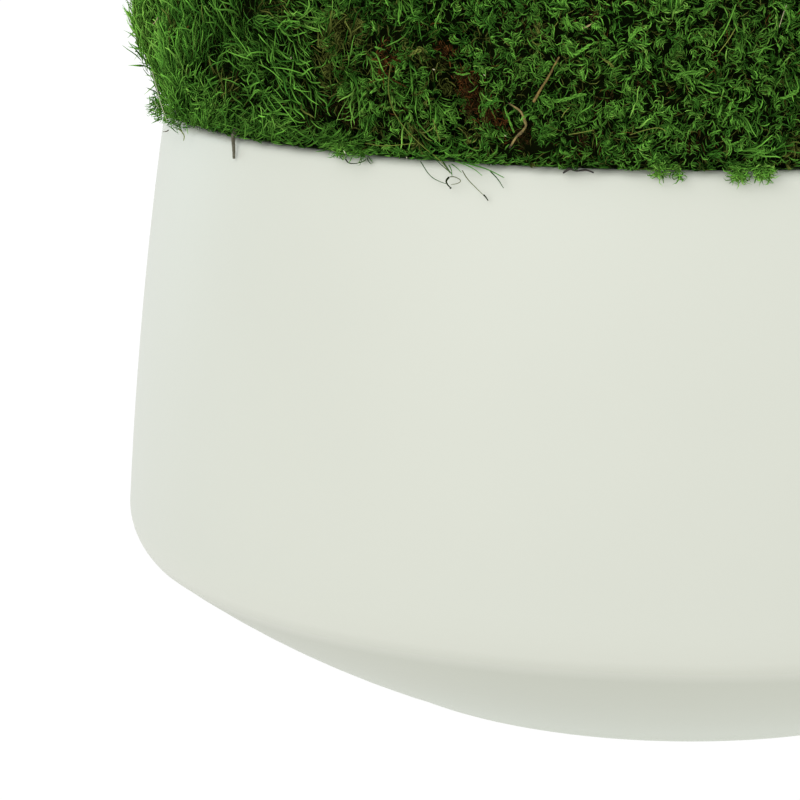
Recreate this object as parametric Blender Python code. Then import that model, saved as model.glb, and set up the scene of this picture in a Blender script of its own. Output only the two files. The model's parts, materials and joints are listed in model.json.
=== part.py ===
"""Moss bowl garden: a wide ceramic bowl, wider at its crease than at its rim, that holds
a foam form. Clumps of preserved mood moss and sheet moss cover the form as a high cushion
that rests on the lip, with a few bits of twig caught in it.

Metres, Z up. The origin is the middle of the base. The front of the bowl faces -Y.
"""
import math
import random

import bmesh
import bpy
from mathutils import Vector, noise

MM = 0.001

# Bowl, outside
RIM_RADIUS = 155.0 * MM
CREASE_RADIUS = 168.0 * MM
CREASE_HEIGHT = 45.5 * MM
CREASE_FILLET = 18.7 * MM
BASE_RADIUS = 85.4 * MM
BASE_FILLET = 50.0 * MM
BOWL_HEIGHT = 176.5 * MM
WALL_BOW = 1.3 * MM
BELLY = 2.3 * MM

# Bowl, walls and foot
WALL = 6.0 * MM
FLOOR_TOP = 9.0 * MM
FOOT_INNER = 60.0 * MM
FOOT_RECESS = 2.0 * MM
BOWL_SIDES = 48

# Foam form
SEAT = 0.35 * MM
FOAM_SIDES = 28

# Moss cushion: a dome about a centre that lies above the rim
DOME_CENTRE = BOWL_HEIGHT + 34.0 * MM
SQUARENESS = 2.3
LEAFY_TOP = (158.0 * MM, 80.0 * MM, 125.0 * MM)
UNDERSIDE = (143.4 * MM, 65.3 * MM, 114.8 * MM)
FOAM_TOP = (140.7 * MM, 62.5 * MM, 112.5 * MM)
MOSS_FOOT = BOWL_HEIGHT + 0.3 * MM
RIM_ANGLE = math.radians(102.4)
SEAM = 0.002
WELD = 0.065
SEAM_DEPTH = 6.0 * MM
SEAM_WIDTH = 0.17
SPRIG = (5.0 * MM, 8.5 * MM)
LEAN = 0.85

# Middles of the clumps as azimuth and angle down from the top, in degrees
SIDE_CLUMPS = ((219, 82), (240, 78), (261, 83), (300, 77), (338, 82),
               (15, 76), (58, 81), (100, 78), (140, 82), (180, 77))
SHOULDER_CLUMPS = ((232, 42), (306, 40), (14, 44), (88, 39), (160, 43))
CROWN_CLUMPS = ((200, 4),)


def polar(azimuth, angle):
    """Unit direction at an azimuth and an angle down from the top, both in degrees."""
    a, t = math.radians(azimuth), math.radians(angle)
    return Vector((math.sin(t) * math.cos(a), math.sin(t) * math.sin(a), math.cos(t)))


def material(name, colour, roughness):
    """A plain Principled material."""
    mat = bpy.data.materials.new(name)
    mat.use_nodes = True
    shader = mat.node_tree.nodes["Principled BSDF"]
    shader.inputs["Base Color"].default_value = (*colour, 1.0)
    shader.inputs["Roughness"].default_value = roughness
    shader.inputs["Metallic"].default_value = 0.0
    mat.diffuse_color = (*colour, 1.0)
    return mat


def add_object(name, bm, mat, smooth=False):
    """Turn a bmesh into an object of the scene."""
    bmesh.ops.recalc_face_normals(bm, faces=bm.faces)
    mesh = bpy.data.meshes.new(name)
    bm.to_mesh(mesh)
    bm.free()
    mesh.materials.append(mat)
    for polygon in mesh.polygons:
        polygon.use_smooth = smooth
    obj = bpy.data.objects.new(name, mesh)
    bpy.context.scene.collection.objects.link(obj)
    return obj


def fillet(corner, before, after, radius, steps):
    """Points of the arc that rounds a corner of an outline."""
    c, b, a = Vector(corner), Vector(before), Vector(after)
    back, on = (b - c).normalized(), (a - c).normalized()
    half = back.angle(on) / 2
    centre = c + (back + on).normalized() * (radius / math.sin(half))
    start = c + back * (radius / math.tan(half)) - centre
    end = c + on * (radius / math.tan(half)) - centre
    turn = start.angle(end)
    points = []
    for i in range(steps + 1):
        f = i / steps
        p = (start * math.sin((1 - f) * turn) + end * math.sin(f * turn)) / math.sin(turn)
        points.append(centre + p)
    return points


def bowed(start, end, sag, steps):
    """Points between two ends of a line, bowed to its right by a sag."""
    s, e = Vector(start), Vector(end)
    along = (e - s).normalized()
    side = Vector((along.y, -along.x))
    points = []
    for i in range(1, steps):
        f = i / steps
        points.append(s.lerp(e, f) + side * (4 * sag * f * (1 - f)))
    return points


def turned(name, outline, sides, mat):
    """A solid of revolution whose outline runs from the axis to the axis."""
    bm = bmesh.new()
    verts = [bm.verts.new((p[0], 0.0, p[1])) for p in outline]
    edges = [bm.edges.new(pair) for pair in zip(verts, verts[1:])]
    bmesh.ops.spin(bm, geom=verts + edges, cent=(0, 0, 0), axis=(0, 0, 1),
                   dvec=(0, 0, 0), angle=2 * math.pi, steps=sides, use_merge=True)
    bmesh.ops.remove_doubles(bm, verts=bm.verts, dist=0.00002)
    return add_object(name, bm, mat, smooth=True)


def bowl_outline():
    """The bowl's outline, from under the middle of its base to the middle of its floor."""
    base = (BASE_RADIUS, 0.0)
    crease = (CREASE_RADIUS, CREASE_HEIGHT)
    rim = (RIM_RADIUS, BOWL_HEIGHT)
    lip = WALL / 2
    points = [Vector((0.0, FOOT_RECESS)), Vector((FOOT_INNER - FOOT_RECESS, FOOT_RECESS)),
              Vector((FOOT_INNER, 0.0))]
    foot = fillet(base, (0.0, 0.0), crease, BASE_FILLET, 4)
    knee = fillet(crease, base, rim, CREASE_FILLET, 6)
    points += foot + bowed(foot[-1], knee[0], BELLY, 3) + knee
    points += bowed(knee[-1], (RIM_RADIUS, BOWL_HEIGHT - lip), WALL_BOW, 4)
    for i in range(5):
        a = math.radians(45 * i)
        points.append(Vector((RIM_RADIUS - lip + lip * math.cos(a), BOWL_HEIGHT - lip + lip * math.sin(a))))
    slope = Vector((CREASE_RADIUS - BASE_RADIUS, CREASE_HEIGHT)).normalized()
    inner_base = underside_at(FLOOR_TOP, WALL, slope)
    inner_crease = (CREASE_RADIUS - WALL * 1.06, CREASE_HEIGHT + 3.3 * MM)
    knee = fillet(inner_crease, (RIM_RADIUS - WALL, BOWL_HEIGHT), inner_base, CREASE_FILLET - WALL, 3)
    points += knee + [Vector(inner_base), Vector((0.0, FLOOR_TOP))]
    return points


def underside_at(height, inset, slope):
    """The point at a height on the sloping underside, moved in by an inset."""
    start = Vector((BASE_RADIUS - inset * slope.y, inset * slope.x))
    return start + slope * ((height - start.y) / slope.y)


def dome(direction, size):
    """Point of a dome in a direction. Size is its radius, height above and depth below."""
    level = Vector((direction.x, direction.y)).length
    depth = size[1] if direction.z >= 0 else size[2]
    total = (level / size[0]) ** SQUARENESS + (abs(direction.z) / depth) ** SQUARENESS
    return Vector((0, 0, DOME_CENTRE)) + direction * total ** (-1 / SQUARENESS)


def foam_outline():
    """Foam form: seated on the sloping floor, straight up inside the lip, domed above it."""
    slope = Vector((CREASE_RADIUS - BASE_RADIUS, CREASE_HEIGHT)).normalized()
    radius = RIM_RADIUS - WALL - SEAT
    low = underside_at(FLOOR_TOP + SEAT, WALL + SEAT, slope)
    knee = low + slope * ((radius - low.x) / slope.x)
    points = [Vector((0.0, low.y)), low, knee, Vector((radius, BOWL_HEIGHT - 0.1 * MM))]
    angles = [102.9, 96, 88, 80, 72, 63, 53, 42, 29, 15, 0]
    ring = [dome(polar(0, angle), FOAM_TOP) for angle in angles]
    points.append(Vector((ring[0].x, BOWL_HEIGHT - 0.1 * MM)))
    points += [Vector((p.x, p.z)) for p in ring[1:]]
    return points


def border(direction, walls):
    """Angle, in radians, from a direction to the nearest border of its clump."""
    return min([direction.dot(n) for n in walls] + [RIM_ANGLE - direction.angle(Vector((0, 0, 1))) + 0.1])


def leafy_point(out, walls):
    """Point of the leafy surface of a clump: a low pillow that sinks to its seams."""
    near = min(1.0, max(0.0, border(out, walls) / SEAM_WIDTH))
    sink = SEAM_DEPTH * (1 - near) ** 2.2
    swell = noise.noise(out * 2.6 + Vector((4.0, 1.0, 7.0))) * 3.2 * MM
    swell += noise.noise(out * 6.5) * 1.5 * MM
    level = out.angle(Vector((0, 0, 1)))
    swell *= min(1.0, max(0.25, (RIM_ANGLE - level) * 4))
    return dome(out, LEAFY_TOP) + out * (swell - sink)


def tidy_cuts(bm, cuts):
    """Weld points closer than half a face's side, and keep the ones on the cuts in place."""
    def held(v):
        return {i for i, (n, place) in enumerate(cuts) if abs((v.co - place).dot(n)) < 0.0001}

    short = True
    while short:
        short = False
        for e in bm.edges:
            if e.calc_length() < WELD:
                first, second = sorted(e.verts, key=lambda v: len(held(v)))
                if held(first) <= held(second):
                    bmesh.ops.pointmerge(bm, verts=[first, second], merge_co=second.co.copy())
                    short = True
                    break


def clump_cell(walls):
    """Part of a unit ball's skin that belongs to one clump, as a closed thick patch."""
    bm = bmesh.new()
    bmesh.ops.create_icosphere(bm, subdivisions=4, radius=1.0)
    cuts = [(n, n * SEAM) for n in walls] + [(Vector((0, 0, 1)), Vector((0, 0, math.cos(RIM_ANGLE))))]
    for normal, place in cuts:
        geom = bm.verts[:] + bm.edges[:] + bm.faces[:]
        bmesh.ops.bisect_plane(bm, geom=geom, plane_co=place, plane_no=normal, clear_inner=True)
    bmesh.ops.triangulate(bm, faces=bm.faces)
    tidy_cuts(bm, cuts)
    inner = bm.verts[:]
    grown = bmesh.ops.extrude_face_region(bm, geom=bm.faces[:], use_keep_orig=True)["geom"]
    for v in inner:
        v.co *= 0.5
    top = [f for f in grown if isinstance(f, bmesh.types.BMFace)]
    edges = list({e for f in top for e in f.edges})
    bmesh.ops.subdivide_edges(bm, edges=edges, cuts=1, use_grid_fill=True)
    bmesh.ops.triangulate(bm, faces=[f for f in bm.faces if len(f.verts) > 3])
    return bm


def moss_clump(name, middle, others, lean, twigs, mat, rng):
    """One clump: thick patch with a pillow top that is covered by leaning sprigs."""
    walls = [(middle - other).normalized() for other in others]
    bm = clump_cell(walls)
    upper = {v for v in bm.verts if v.co.length > 0.75}
    faces = [f for f in bm.faces if all(v in upper for v in f.verts)]
    rooms = [max(0.0, border(f.calc_center_median().normalized(), walls)) for f in faces]
    foot = [v for v in bm.verts if v.co.normalized().z < math.cos(RIM_ANGLE) + 0.004]
    for v in bm.verts:
        out = v.co.normalized()
        v.co = leafy_point(out, walls) if v in upper else dome(out, UNDERSIDE)
    for v in foot:
        v.co.z = MOSS_FOOT
    for f, room in zip(faces, rooms):
        tip = bmesh.ops.poke(bm, faces=[f])["verts"][0]
        grow_sprig(tip, room, lean, twigs, rng)
    return add_object(name, bm, mat)


def dome_normal(place):
    """Outward direction of the leafy dome at a place on it."""
    x, y, z = place - Vector((0, 0, DOME_CENTRE))
    level = math.hypot(x, y)
    depth = LEAFY_TOP[1] if z >= 0 else LEAFY_TOP[2]
    across = level ** (SQUARENESS - 2) / LEAFY_TOP[0] ** SQUARENESS
    rise = math.copysign(abs(z) ** (SQUARENESS - 1), z) / depth ** SQUARENESS
    return Vector((x * across, y * across, rise)).normalized()


def grow_sprig(tip, room, lean, twigs, rng):
    """Pull the middle of a face out into a leaning sprig that stays over its own clump."""
    start = tip.co.copy()
    radial = start - Vector((0, 0, DOME_CENTRE))
    aside = 0.6 * room * radial.length
    radial.normalize()
    normal = radial.lerp(dome_normal(start), min(1.0, room * 7)).normalized()
    east = Vector((-start.y, start.x, 0)).normalized()
    north = normal.cross(east)
    wind = lean + noise.noise(start * 12.0 + Vector((lean, 0, 0))) * 1.6
    comb = east * math.cos(wind) + north * math.sin(wind)
    low = max(0.0, 1 - (start.z - MOSS_FOOT) / (9 * MM))
    comb = comb * (1 - low) - north * low * 0.8
    height = rng.uniform(*SPRIG) * min(1.0, 0.45 + room * 5.5)
    slant = min(LEAN * height, aside)
    for a, b, radius in twigs:
        along = b - a
        f = min(1.0, max(0.0, (start - a).dot(along) / along.length_squared))
        gap = a.lerp(b, f) - start
        lift = gap.dot(normal)
        aside = (gap - normal * lift).length
        if aside < 9.5 * MM and lift > 0:
            height = min(height, max(0.6 * MM, lift - radius - 0.4 * MM))
            slant = 0.0
        if aside < 2.6 * MM and 0 < f < 1:
            comb, slant, height = (gap - normal * lift).normalized(), aside, lift - radius - 0.35 * MM
    tip.co = start + normal * height + comb * slant
    over_lip = room > 0.08 and start.xy.length > RIM_RADIUS + 0.3 * MM
    tip.co.z = max(tip.co.z, MOSS_FOOT - 5 * MM if over_lip else MOSS_FOOT + 0.3 * MM)


def twig_points(places, lift):
    """Points of a twig over the leafy dome, from azimuths, heights above the rim and a lift."""
    points = []
    for azimuth, height, extra in places:
        rise = BOWL_HEIGHT + height * MM - DOME_CENTRE
        size = LEAFY_TOP[1] if rise > 0 else LEAFY_TOP[2]
        radius = LEAFY_TOP[0] * (1 - (abs(rise) / size) ** SQUARENESS) ** (1 / SQUARENESS)
        a = math.radians(azimuth)
        radius += (lift + extra) * MM
        points.append(Vector((radius * math.cos(a), radius * math.sin(a), rise + DOME_CENTRE)))
    return points


def twig(name, points, thick, thin, mat):
    """A short bit of twig: a tapering tube along its points, six sides round."""
    curve = bpy.data.curves.new(name, "CURVE")
    curve.dimensions = "3D"
    curve.bevel_depth = 1.0 * MM
    curve.bevel_resolution = 1
    curve.use_fill_caps = True
    spline = curve.splines.new("POLY")
    spline.points.add(len(points) - 1)
    for i, p in enumerate(points):
        spline.points[i].co = (*p, 1.0)
        spline.points[i].radius = (thick + (thin - thick) * i / (len(points) - 1)) / (2 * MM)
    holder = bpy.data.objects.new(name + "_line", curve)
    bpy.context.scene.collection.objects.link(holder)
    mesh = bpy.data.meshes.new_from_object(holder.evaluated_get(bpy.context.evaluated_depsgraph_get()))
    bm = bmesh.new()
    bm.from_mesh(mesh)
    bmesh.ops.remove_doubles(bm, verts=bm.verts, dist=0.00001)
    bmesh.ops.triangulate(bm, faces=bm.faces)
    bpy.data.objects.remove(holder)
    bpy.data.meshes.remove(mesh)
    return add_object(name, bm, mat, smooth=True)


def main():
    for obj in list(bpy.data.objects):
        bpy.data.objects.remove(obj)
    rng = random.Random(17)
    ceramic = material("white_satin_ceramic", (0.76, 0.78, 0.72), 0.5)
    foam = material("green_dry_foam", (0.10, 0.16, 0.07), 0.95)
    greens = {"side": material("side_moss", (0.085, 0.165, 0.03), 0.9),
              "shoulder": material("shoulder_moss", (0.07, 0.15, 0.028), 0.9),
              "crown": material("crown_moss", (0.095, 0.17, 0.035), 0.9)}
    bark = material("dry_twig_bark", (0.42, 0.28, 0.15), 0.85)

    turned("bowl", bowl_outline(), BOWL_SIDES, ceramic)
    turned("foam_form", foam_outline(), FOAM_SIDES, foam)

    twigs = {"twig_straight": (twig_points(((256.6, 17.5, 0.0), (258.0, 24.5, 0.3), (259.4, 31.0, 0.3)), 1.15), 1.3, 1.0),
             "twig_crooked": (twig_points(((253.7, 5.5, 0.4), (255.3, 9.8, 0.2), (255.9, 13.6, 0.0),
                                           (254.2, 18.3, 0.2)), 0.9), 1.2, 1.0),
             "twig_rim": (twig_points(((260.0, 3.2, 2.2), (261.6, 4.4, 2.6), (263.2, 3.4, 2.2)), 2.0), 1.2, 1.0)}
    rods = []
    for name, (points, thick, thin) in twigs.items():
        twig(name, points, thick * MM, thin * MM, bark)
        rods += [(a, b, thick * MM / 2) for a, b in zip(points, points[1:])]

    rings = (("side", SIDE_CLUMPS), ("shoulder", SHOULDER_CLUMPS), ("crown", CROWN_CLUMPS))
    middles = [(ring, i, polar(*place)) for ring, places in rings for i, place in enumerate(places)]
    for ring, i, middle in middles:
        others = [other for _, _, other in middles if other is not middle and other.angle(middle) < 1.6]
        name = "moss_crown" if ring == "crown" else "moss_%s_%02d" % (ring, i + 1)
        moss_clump(name, middle, others, rng.uniform(0, 2 * math.pi), rods, greens[ring], rng)


main()
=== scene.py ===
"""Looks of the moss bowl garden: a satin ceramic bowl, and clumps of preserved moss grown leaf
by leaf over the same dome as the solids. Metres, Z up, front of the bowl to -Y.
"""
import json
import math

import bmesh
import bpy
import numpy as np
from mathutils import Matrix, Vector, noise

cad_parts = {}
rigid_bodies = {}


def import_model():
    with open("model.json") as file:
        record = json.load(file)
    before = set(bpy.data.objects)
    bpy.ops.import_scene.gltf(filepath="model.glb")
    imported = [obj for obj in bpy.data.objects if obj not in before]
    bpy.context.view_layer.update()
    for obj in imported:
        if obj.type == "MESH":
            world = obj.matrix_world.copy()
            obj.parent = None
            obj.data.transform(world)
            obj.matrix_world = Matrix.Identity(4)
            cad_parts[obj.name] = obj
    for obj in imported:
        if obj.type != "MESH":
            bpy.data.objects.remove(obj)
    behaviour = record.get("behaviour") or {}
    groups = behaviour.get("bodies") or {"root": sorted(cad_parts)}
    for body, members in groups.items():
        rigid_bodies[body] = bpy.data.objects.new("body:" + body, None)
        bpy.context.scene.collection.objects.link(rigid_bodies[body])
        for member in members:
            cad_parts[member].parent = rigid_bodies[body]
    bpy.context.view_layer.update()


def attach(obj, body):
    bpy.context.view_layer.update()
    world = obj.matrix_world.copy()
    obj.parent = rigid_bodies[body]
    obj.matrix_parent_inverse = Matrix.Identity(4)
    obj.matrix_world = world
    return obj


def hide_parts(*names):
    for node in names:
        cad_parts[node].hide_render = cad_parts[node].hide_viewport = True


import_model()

MM = 0.001

# Bowl, as in the solids but turned in more sides, and 0.1 mm fuller under the crease
RIM_RADIUS = 155.0 * MM
CREASE_RADIUS = 168.0 * MM
CREASE_HEIGHT = 45.5 * MM
CREASE_FILLET = 18.7 * MM
BASE_RADIUS = 85.4 * MM
BASE_FILLET = 50.0 * MM
BOWL_HEIGHT = 176.5 * MM
WALL_BOW = 1.3 * MM
BELLY = 2.4 * MM
WALL = 6.0 * MM
FLOOR_TOP = 9.0 * MM
FOOT_INNER = 60.0 * MM
FOOT_RECESS = 2.0 * MM
BOWL_SIDES = 160
LIP_STEPS = 8

# Moss dome, as in the solids: its sizes are outward, up and down from its centre
DOME_CENTRE = BOWL_HEIGHT + 34.0 * MM
CENTRE = np.array([0, 0, DOME_CENTRE])
UP = np.array([0.0, 0.0, 1.0])
SQUARENESS = 2.3
LEAFY_TOP = (158.0 * MM, 80.0 * MM, 125.0 * MM)
UNDERSIDE = (143.4 * MM, 65.3 * MM, 114.8 * MM)
MOSS_FOOT = BOWL_HEIGHT + 0.3 * MM
RIM_ANGLE = math.radians(102.4)
SEAM = 0.002
WELD = 0.065
SEAM_DEPTH = 6.0 * MM
SEAM_WIDTH = 0.17
CORE_SINK = 2.6 * MM
MM_PER_DEGREE = 2.8

# The front that is seen close: its middle and half its width in degrees, its top and the width
# of its fading edge in millimetres. Then the moss's left outline, and where the deeper leaves
# begin to darken towards it with painted shade
FRONT_MIDDLE, FRONT_HALF, FRONT_TOP, FRONT_EDGE = 236, 49, 52, 34
OUTLINE, OUTLINE_FROM = 190, 208

# Leaves: how far they stand above the dome, how low their roots and tips may lie, how many
# grow from one spot, how many spots each way of growing starts from, the coarseness up to which
# they are full blades, and the steps of strands, paths and twigs
SEED = 29
LEAF_LIFT = 2.3 * MM
LOWEST_ROOT = MOSS_FOOT + 0.4 * MM
ON_RIM = MOSS_FOOT + 0.15 * MM
BLADES_IN_TUFT = 13
LEAVES_IN_PLUME = 10
LEAVES_IN_SHOOT = 30
TUFT_SPOTS = 24000
PLUME_SPOTS = 45500
CURL_SPOTS = 28000
FUZZ_SPOTS = 150000
FINE_BELOW = 1.12
STRAND_STEPS = 13
PATH_STEPS = 60
TWIG_STEPS = 200

# Tones lie along the map's U: near black first, for dark strands and the painted shade of the cores, then browned
# leaves, dry stalks, olive and greens
RUST, OLIVE = 0.16, 0.48
BROWNED = 0.25
MAP_HALF = 0.0012

# Clumps: azimuth and angle down from the top in degrees, and the share of long combed blades,
# where the rest is curly plumes
CLUMPS = {
    "moss_side_01": (219, 82, 1.0), "moss_side_02": (240, 78, 0.16), "moss_side_03": (261, 83, 0.03),
    "moss_side_04": (300, 77, 0.05), "moss_side_05": (338, 82, 0.8), "moss_side_06": (15, 76, 0.1),
    "moss_side_07": (58, 81, 0.9), "moss_side_08": (100, 78, 0.15), "moss_side_09": (140, 82, 0.8),
    "moss_side_10": (180, 77, 1.0), "moss_shoulder_01": (232, 42, 0.8), "moss_shoulder_02": (306, 40, 0.1),
    "moss_shoulder_03": (14, 44, 0.7), "moss_shoulder_04": (88, 39, 0.2), "moss_shoulder_05": (160, 43, 0.9),
    "moss_crown": (200, 4, 0.3)}

# Places on the front are an azimuth in degrees and a height above the rim in millimetres.
# Swells and hollows of the leafy surface: place, width in degrees, height and depth in millimetres
SWELLS = (
    (189, 25, 17, 8, 2.6), (190, 41, 42, 6, -3.0), (189, 6.5, 14, 5, -2.3), (218, 24, 5.5, 9, -1.5))

# Bits of twig: CAD node, path of places with their lift off the dome, thickness at both ends in
# millimetres, knots as a place along the twig and a swelling, and dark and light bark
TWIGS = {
    "straight_twig": (
        "twig_straight", ((256.5, 17.8, 1.8), (257.1, 20.8, 1.7), (257.8, 23.9, 1.7), (259.0, 29.8, 2.3)),
        0.80, 0.46, ((0.47, -0.12), (0.1, 0.06)), ((0.090, 0.058, 0.011), (0.28, 0.19, 0.042))),
    "crooked_twig": (
        "twig_crooked", ((253.9, 5.2, 1.3), (254.4, 7.3, 1.5), (254.8, 8.7, 1.5), (255.2, 9.7, 1.3),
                         (255.6, 11.3, 1.1), (255.5, 12.6, 1.1), (255.2, 14.9, 1.3), (254.5, 16.3, 1.2),
                         (253.9, 17.2, 1.0)),
        0.56, 0.40, ((0.34, 0.75), (0.60, 0.75), (0.78, 0.4)),
        ((0.020, 0.015, 0.004), (0.32, 0.235, 0.072), 420.0)),
    "rim_twig": (
        "twig_rim", ((259.3, -0.6, 3.4), (259.9, 0.5, 3.6), (260.6, 0.1, 3.6), (261.5, 0.4, 3.6), (262.2, -0.3, 3.2)),
        0.54, 0.40, ((0.2, 0.5), (0.7, 0.3)), ((0.006, 0.005, 0.004), (0.035, 0.026, 0.020))),
    "rim_peg": (
        None, ((218.0, 2.6, 0.4), (218.1, 0.6, 1.8), (218.15, -2.4, 2.5), (218.1, -5.5, 3.2)),
        1.25, 0.78, ((0.25, 0.15),), ((0.075, 0.068, 0.040), (0.17, 0.16, 0.11)))}

# Strands, broad blades and leafy shoots on the moss: kind, tone, breadth in millimetres, then
# three numbers for each point of the path, its place and its lift off the dome
STRANDS = (
    ("strand", 0.345, 0.3, 201.1, 14.8, 5.2, 201.6, 9.9, 4.8, 202.1, 5.7, 4.8, 202.1, 3.0, 4.4, 200.8, -0.1, 3.4),
    ("blade", 0.335, 0.46, 199.4, 5.4, 5.0, 200.5, 4.6, 5.2, 200.8, 3.8, 4.8),
    ("strand", 0.3, 0.4, 204.1, 31.0, 4.2, 203.5, 29.7, 4.6, 201.7, 28.1, 4.4),
    ("blade", 0.8, 0.62, 212.5, 20.8, 2.8, 213.7, 25.1, 4.2, 213.6, 29.6, 4.2, 213.3, 32.8, 3.2),
    ("shoot", 0.93, 1.2, 227.8, 32.7, 3.2, 229.3, 35.2, 4.2, 230.9, 35.4, 3.6),
    ("blade", 0.86, 0.736, 226.5, 28.0, 3.0, 226.3, 29.7, 4.4, 225.5, 31.2, 4.2),
    ("blade", 0.86, 0.644, 223.9, 23.6, 3.0, 222.7, 24.5, 4.6, 220.1, 25.3, 4.2),
    ("blade", 0.84, 0.552, 223.9, 24.1, 3.0, 223.6, 25.8, 4.0, 223.0, 28.1, 4.6, 220.6, 32.1, 4.2),
    ("blade", 0.86, 0.552, 224.1, 23.6, 3.0, 224.2, 25.9, 4.2, 223.7, 27.7, 4.2),
    ("blade", 0.83, 0.552, 224.5, 22.9, 3.0, 227.2, 21.7, 4.4, 229.0, 18.5, 4.0),
    ("blade", 0.84, 0.552, 226.7, 22.3, 3.2, 229.7, 22.5, 4.6, 231.8, 21.6, 4.0),
    ("blade", 0.82, 0.506, 229.7, 18.6, 3.2, 231.0, 17.1, 4.4, 232.6, 16.9, 4.0),
    ("blade", 0.83, 0.552, 226.9, 16.6, 3.0, 228.2, 15.4, 4.4, 228.6, 13.9, 4.0),
    ("blade", 0.81, 0.506, 225.5, 15.0, 3.0, 227.0, 12.6, 4.4, 227.6, 10.2, 4.0),
    ("blade", 0.85, 0.598, 226.4, 15.2, 3.0, 229.1, 11.0, 4.6, 230.2, 7.3, 4.0),
    ("blade", 0.85, 0.598, 231.3, 16.0, 3.0, 232.6, 14.7, 4.4, 233.5, 13.5, 4.0),
    ("blade", 0.94, 0.782, 224.3, 8.6, 3.6, 225.1, 8.4, 4.2, 225.6, 8.4, 3.8),
    ("blade", 0.81, 0.46, 221.7, 16.0, 3.0, 220.7, 17.1, 4.2, 218.8, 17.3, 4.0),
    ("blade", 0.81, 0.46, 216.1, 22.9, 3.2, 217.4, 22.1, 4.2, 218.2, 21.5, 4.0),
    ("strand", 0.5, 0.36, 242.1, 26.8, 3.0, 242.0, 22.0, 4.0, 242.0, 17.9, 4.2, 242.5, 13.1, 4.2, 243.7, 8.8, 4.2,
     245.2, 4.9, 4.2, 247.0, 1.0, 3.8, 247.7, -2.8, 2.4),
    ("strand", 0.6, 0.38, 244.3, 11.3, 3.4, 245.6, 5.4, 4.2, 246.7, 0.9, 4.0, 248.0, -2.7, 3.0),
    ("strand", 0.5, 0.4, 246.5, 12.2, 3.6, 246.9, 9.4, 4.2, 247.1, 6.1, 3.6),
    ("strand", 0.78, 0.34, 244.7, 11.3, 3.6, 246.2, 7.7, 4.4, 247.4, 4.8, 3.8),
    ("strand", 0.52, 0.3, 238.6, 4.2, 3.6, 240.6, 4.0, 4.4, 242.2, 4.4, 4.4, 244.6, 5.4, 3.8),
    ("strand", 0.86, 0.42, 275.2, 44.2, 3.8, 274.3, 38.1, 4.6, 273.4, 33.8, 3.8),
    ("strand", 0.545, 0.32, 275.4, 39.2, 3.8, 274.5, 35.0, 4.6, 273.6, 31.4, 3.8),
    ("strand", 0.8, 0.32, 276.2, 31.4, 3.8, 277.4, 32.4, 4.4, 278.7, 33.7, 3.8),
    ("strand", 0.315, 0.28, 279.8, 43.8, 3.8, 279.4, 41.2, 4.4, 279.1, 38.0, 3.8),
    ("strand", 0.54, 0.28, 265.6, 10.0, 3.6, 267.1, 11.5, 4.4, 268.3, 12.1, 4.2, 269.1, 11.1, 3.6),
    ("strand", 0.54, 0.28, 259.9, 9.7, 3.8, 261.2, 10.5, 4.4, 262.4, 11.2, 3.8),
    ("strand", 0.42, 0.28, 272.1, 18.8, 3.8, 273.2, 20.0, 4.4, 274.3, 20.4, 3.8),
    ("strand", 0.42, 0.3, 257.8, 12.4, 3.8, 258.7, 11.2, 4.4, 259.7, 10.4, 3.8),
    ("strand", 0.54, 0.34, 259.3, 14.1, 3.8, 259.7, 15.8, 4.4, 260.1, 16.9, 3.8),
    ("shoot", 0.88, 0.9, 278.0, 43.2, 4.8, 278.9, 44.4, 5.2, 279.9, 41.4, 5.0, 279.8, 36.8, 4.4),
    ("blade", 0.82, 0.874, 279.1, 44.0, 4.2, 279.75, 42.0, 4.6, 280.0, 39.6, 4.4, 279.7, 36.8, 3.8),
    ("shoot", 0.53, 1.1, 263.0, 29.9, 3.6, 263.6, 29.0, 4.2, 264.0, 28.0, 3.8),
    ("shoot", 0.89, 1.5, 259.6, 33.3, 3.4, 260.2, 31.0, 4.2, 261.1, 31.7, 4.4, 261.8, 33.1, 3.8),
    ("shoot", 0.86, 1.9, 258.4, 18.2, 3.4, 259.6, 19.0, 4.4, 261.3, 20.3, 3.8),
    ("shoot", 0.86, 1.7, 269.6, 24.3, 3.4, 270.3, 25.9, 4.4, 271.8, 26.7, 3.8),
    ("shoot", 0.87, 1.4, 265.4, 33.9, 3.4, 265.9, 36.0, 4.4, 266.5, 37.5, 3.8),
    ("shoot", 0.86, 1.6, 279.3, 19.5, 3.4, 279.9, 20.2, 4.4, 280.8, 21.4, 3.8),
    ("shoot", 0.89, 0.9, 274.0, 10.0, 3.4, 274.7, 8.0, 4.4, 275.6, 8.3, 3.8),
    ("shoot", 0.88, 1.0, 259.7, 41.2, 3.4, 259.9, 39.5, 4.4, 260.2, 38.0, 3.8),
    ("shoot", 0.85, 1.2, 274.1, 18.4, 3.4, 273.9, 16.9, 4.4, 273.7, 15.3, 3.8),
    ("shoot", 0.89, 1.3, 253.7, 16.6, 3.2, 254.2, 13.8, 4.2, 254.6, 10.1, 3.6),
    ("shoot", 0.74, 1.8, 251.4, 16.3, 3.2, 252.2, 16.9, 4.2, 252.9, 17.9, 3.6),
    ("shoot", 0.86, 0.9, 248.7, 24.9, 3.2, 249.6, 24.5, 4.2, 250.3, 24.7, 3.6),
    ("shoot", 0.535, 1.5, 244.0, 28.2, 3.0, 244.7, 29.4, 3.8, 245.1, 29.9, 3.4),
    ("blade", 0.285, 0.8, 261.3, 37.5, 3.8, 261.8, 38.1, 4.4, 262.1, 38.7, 3.8))

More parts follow.
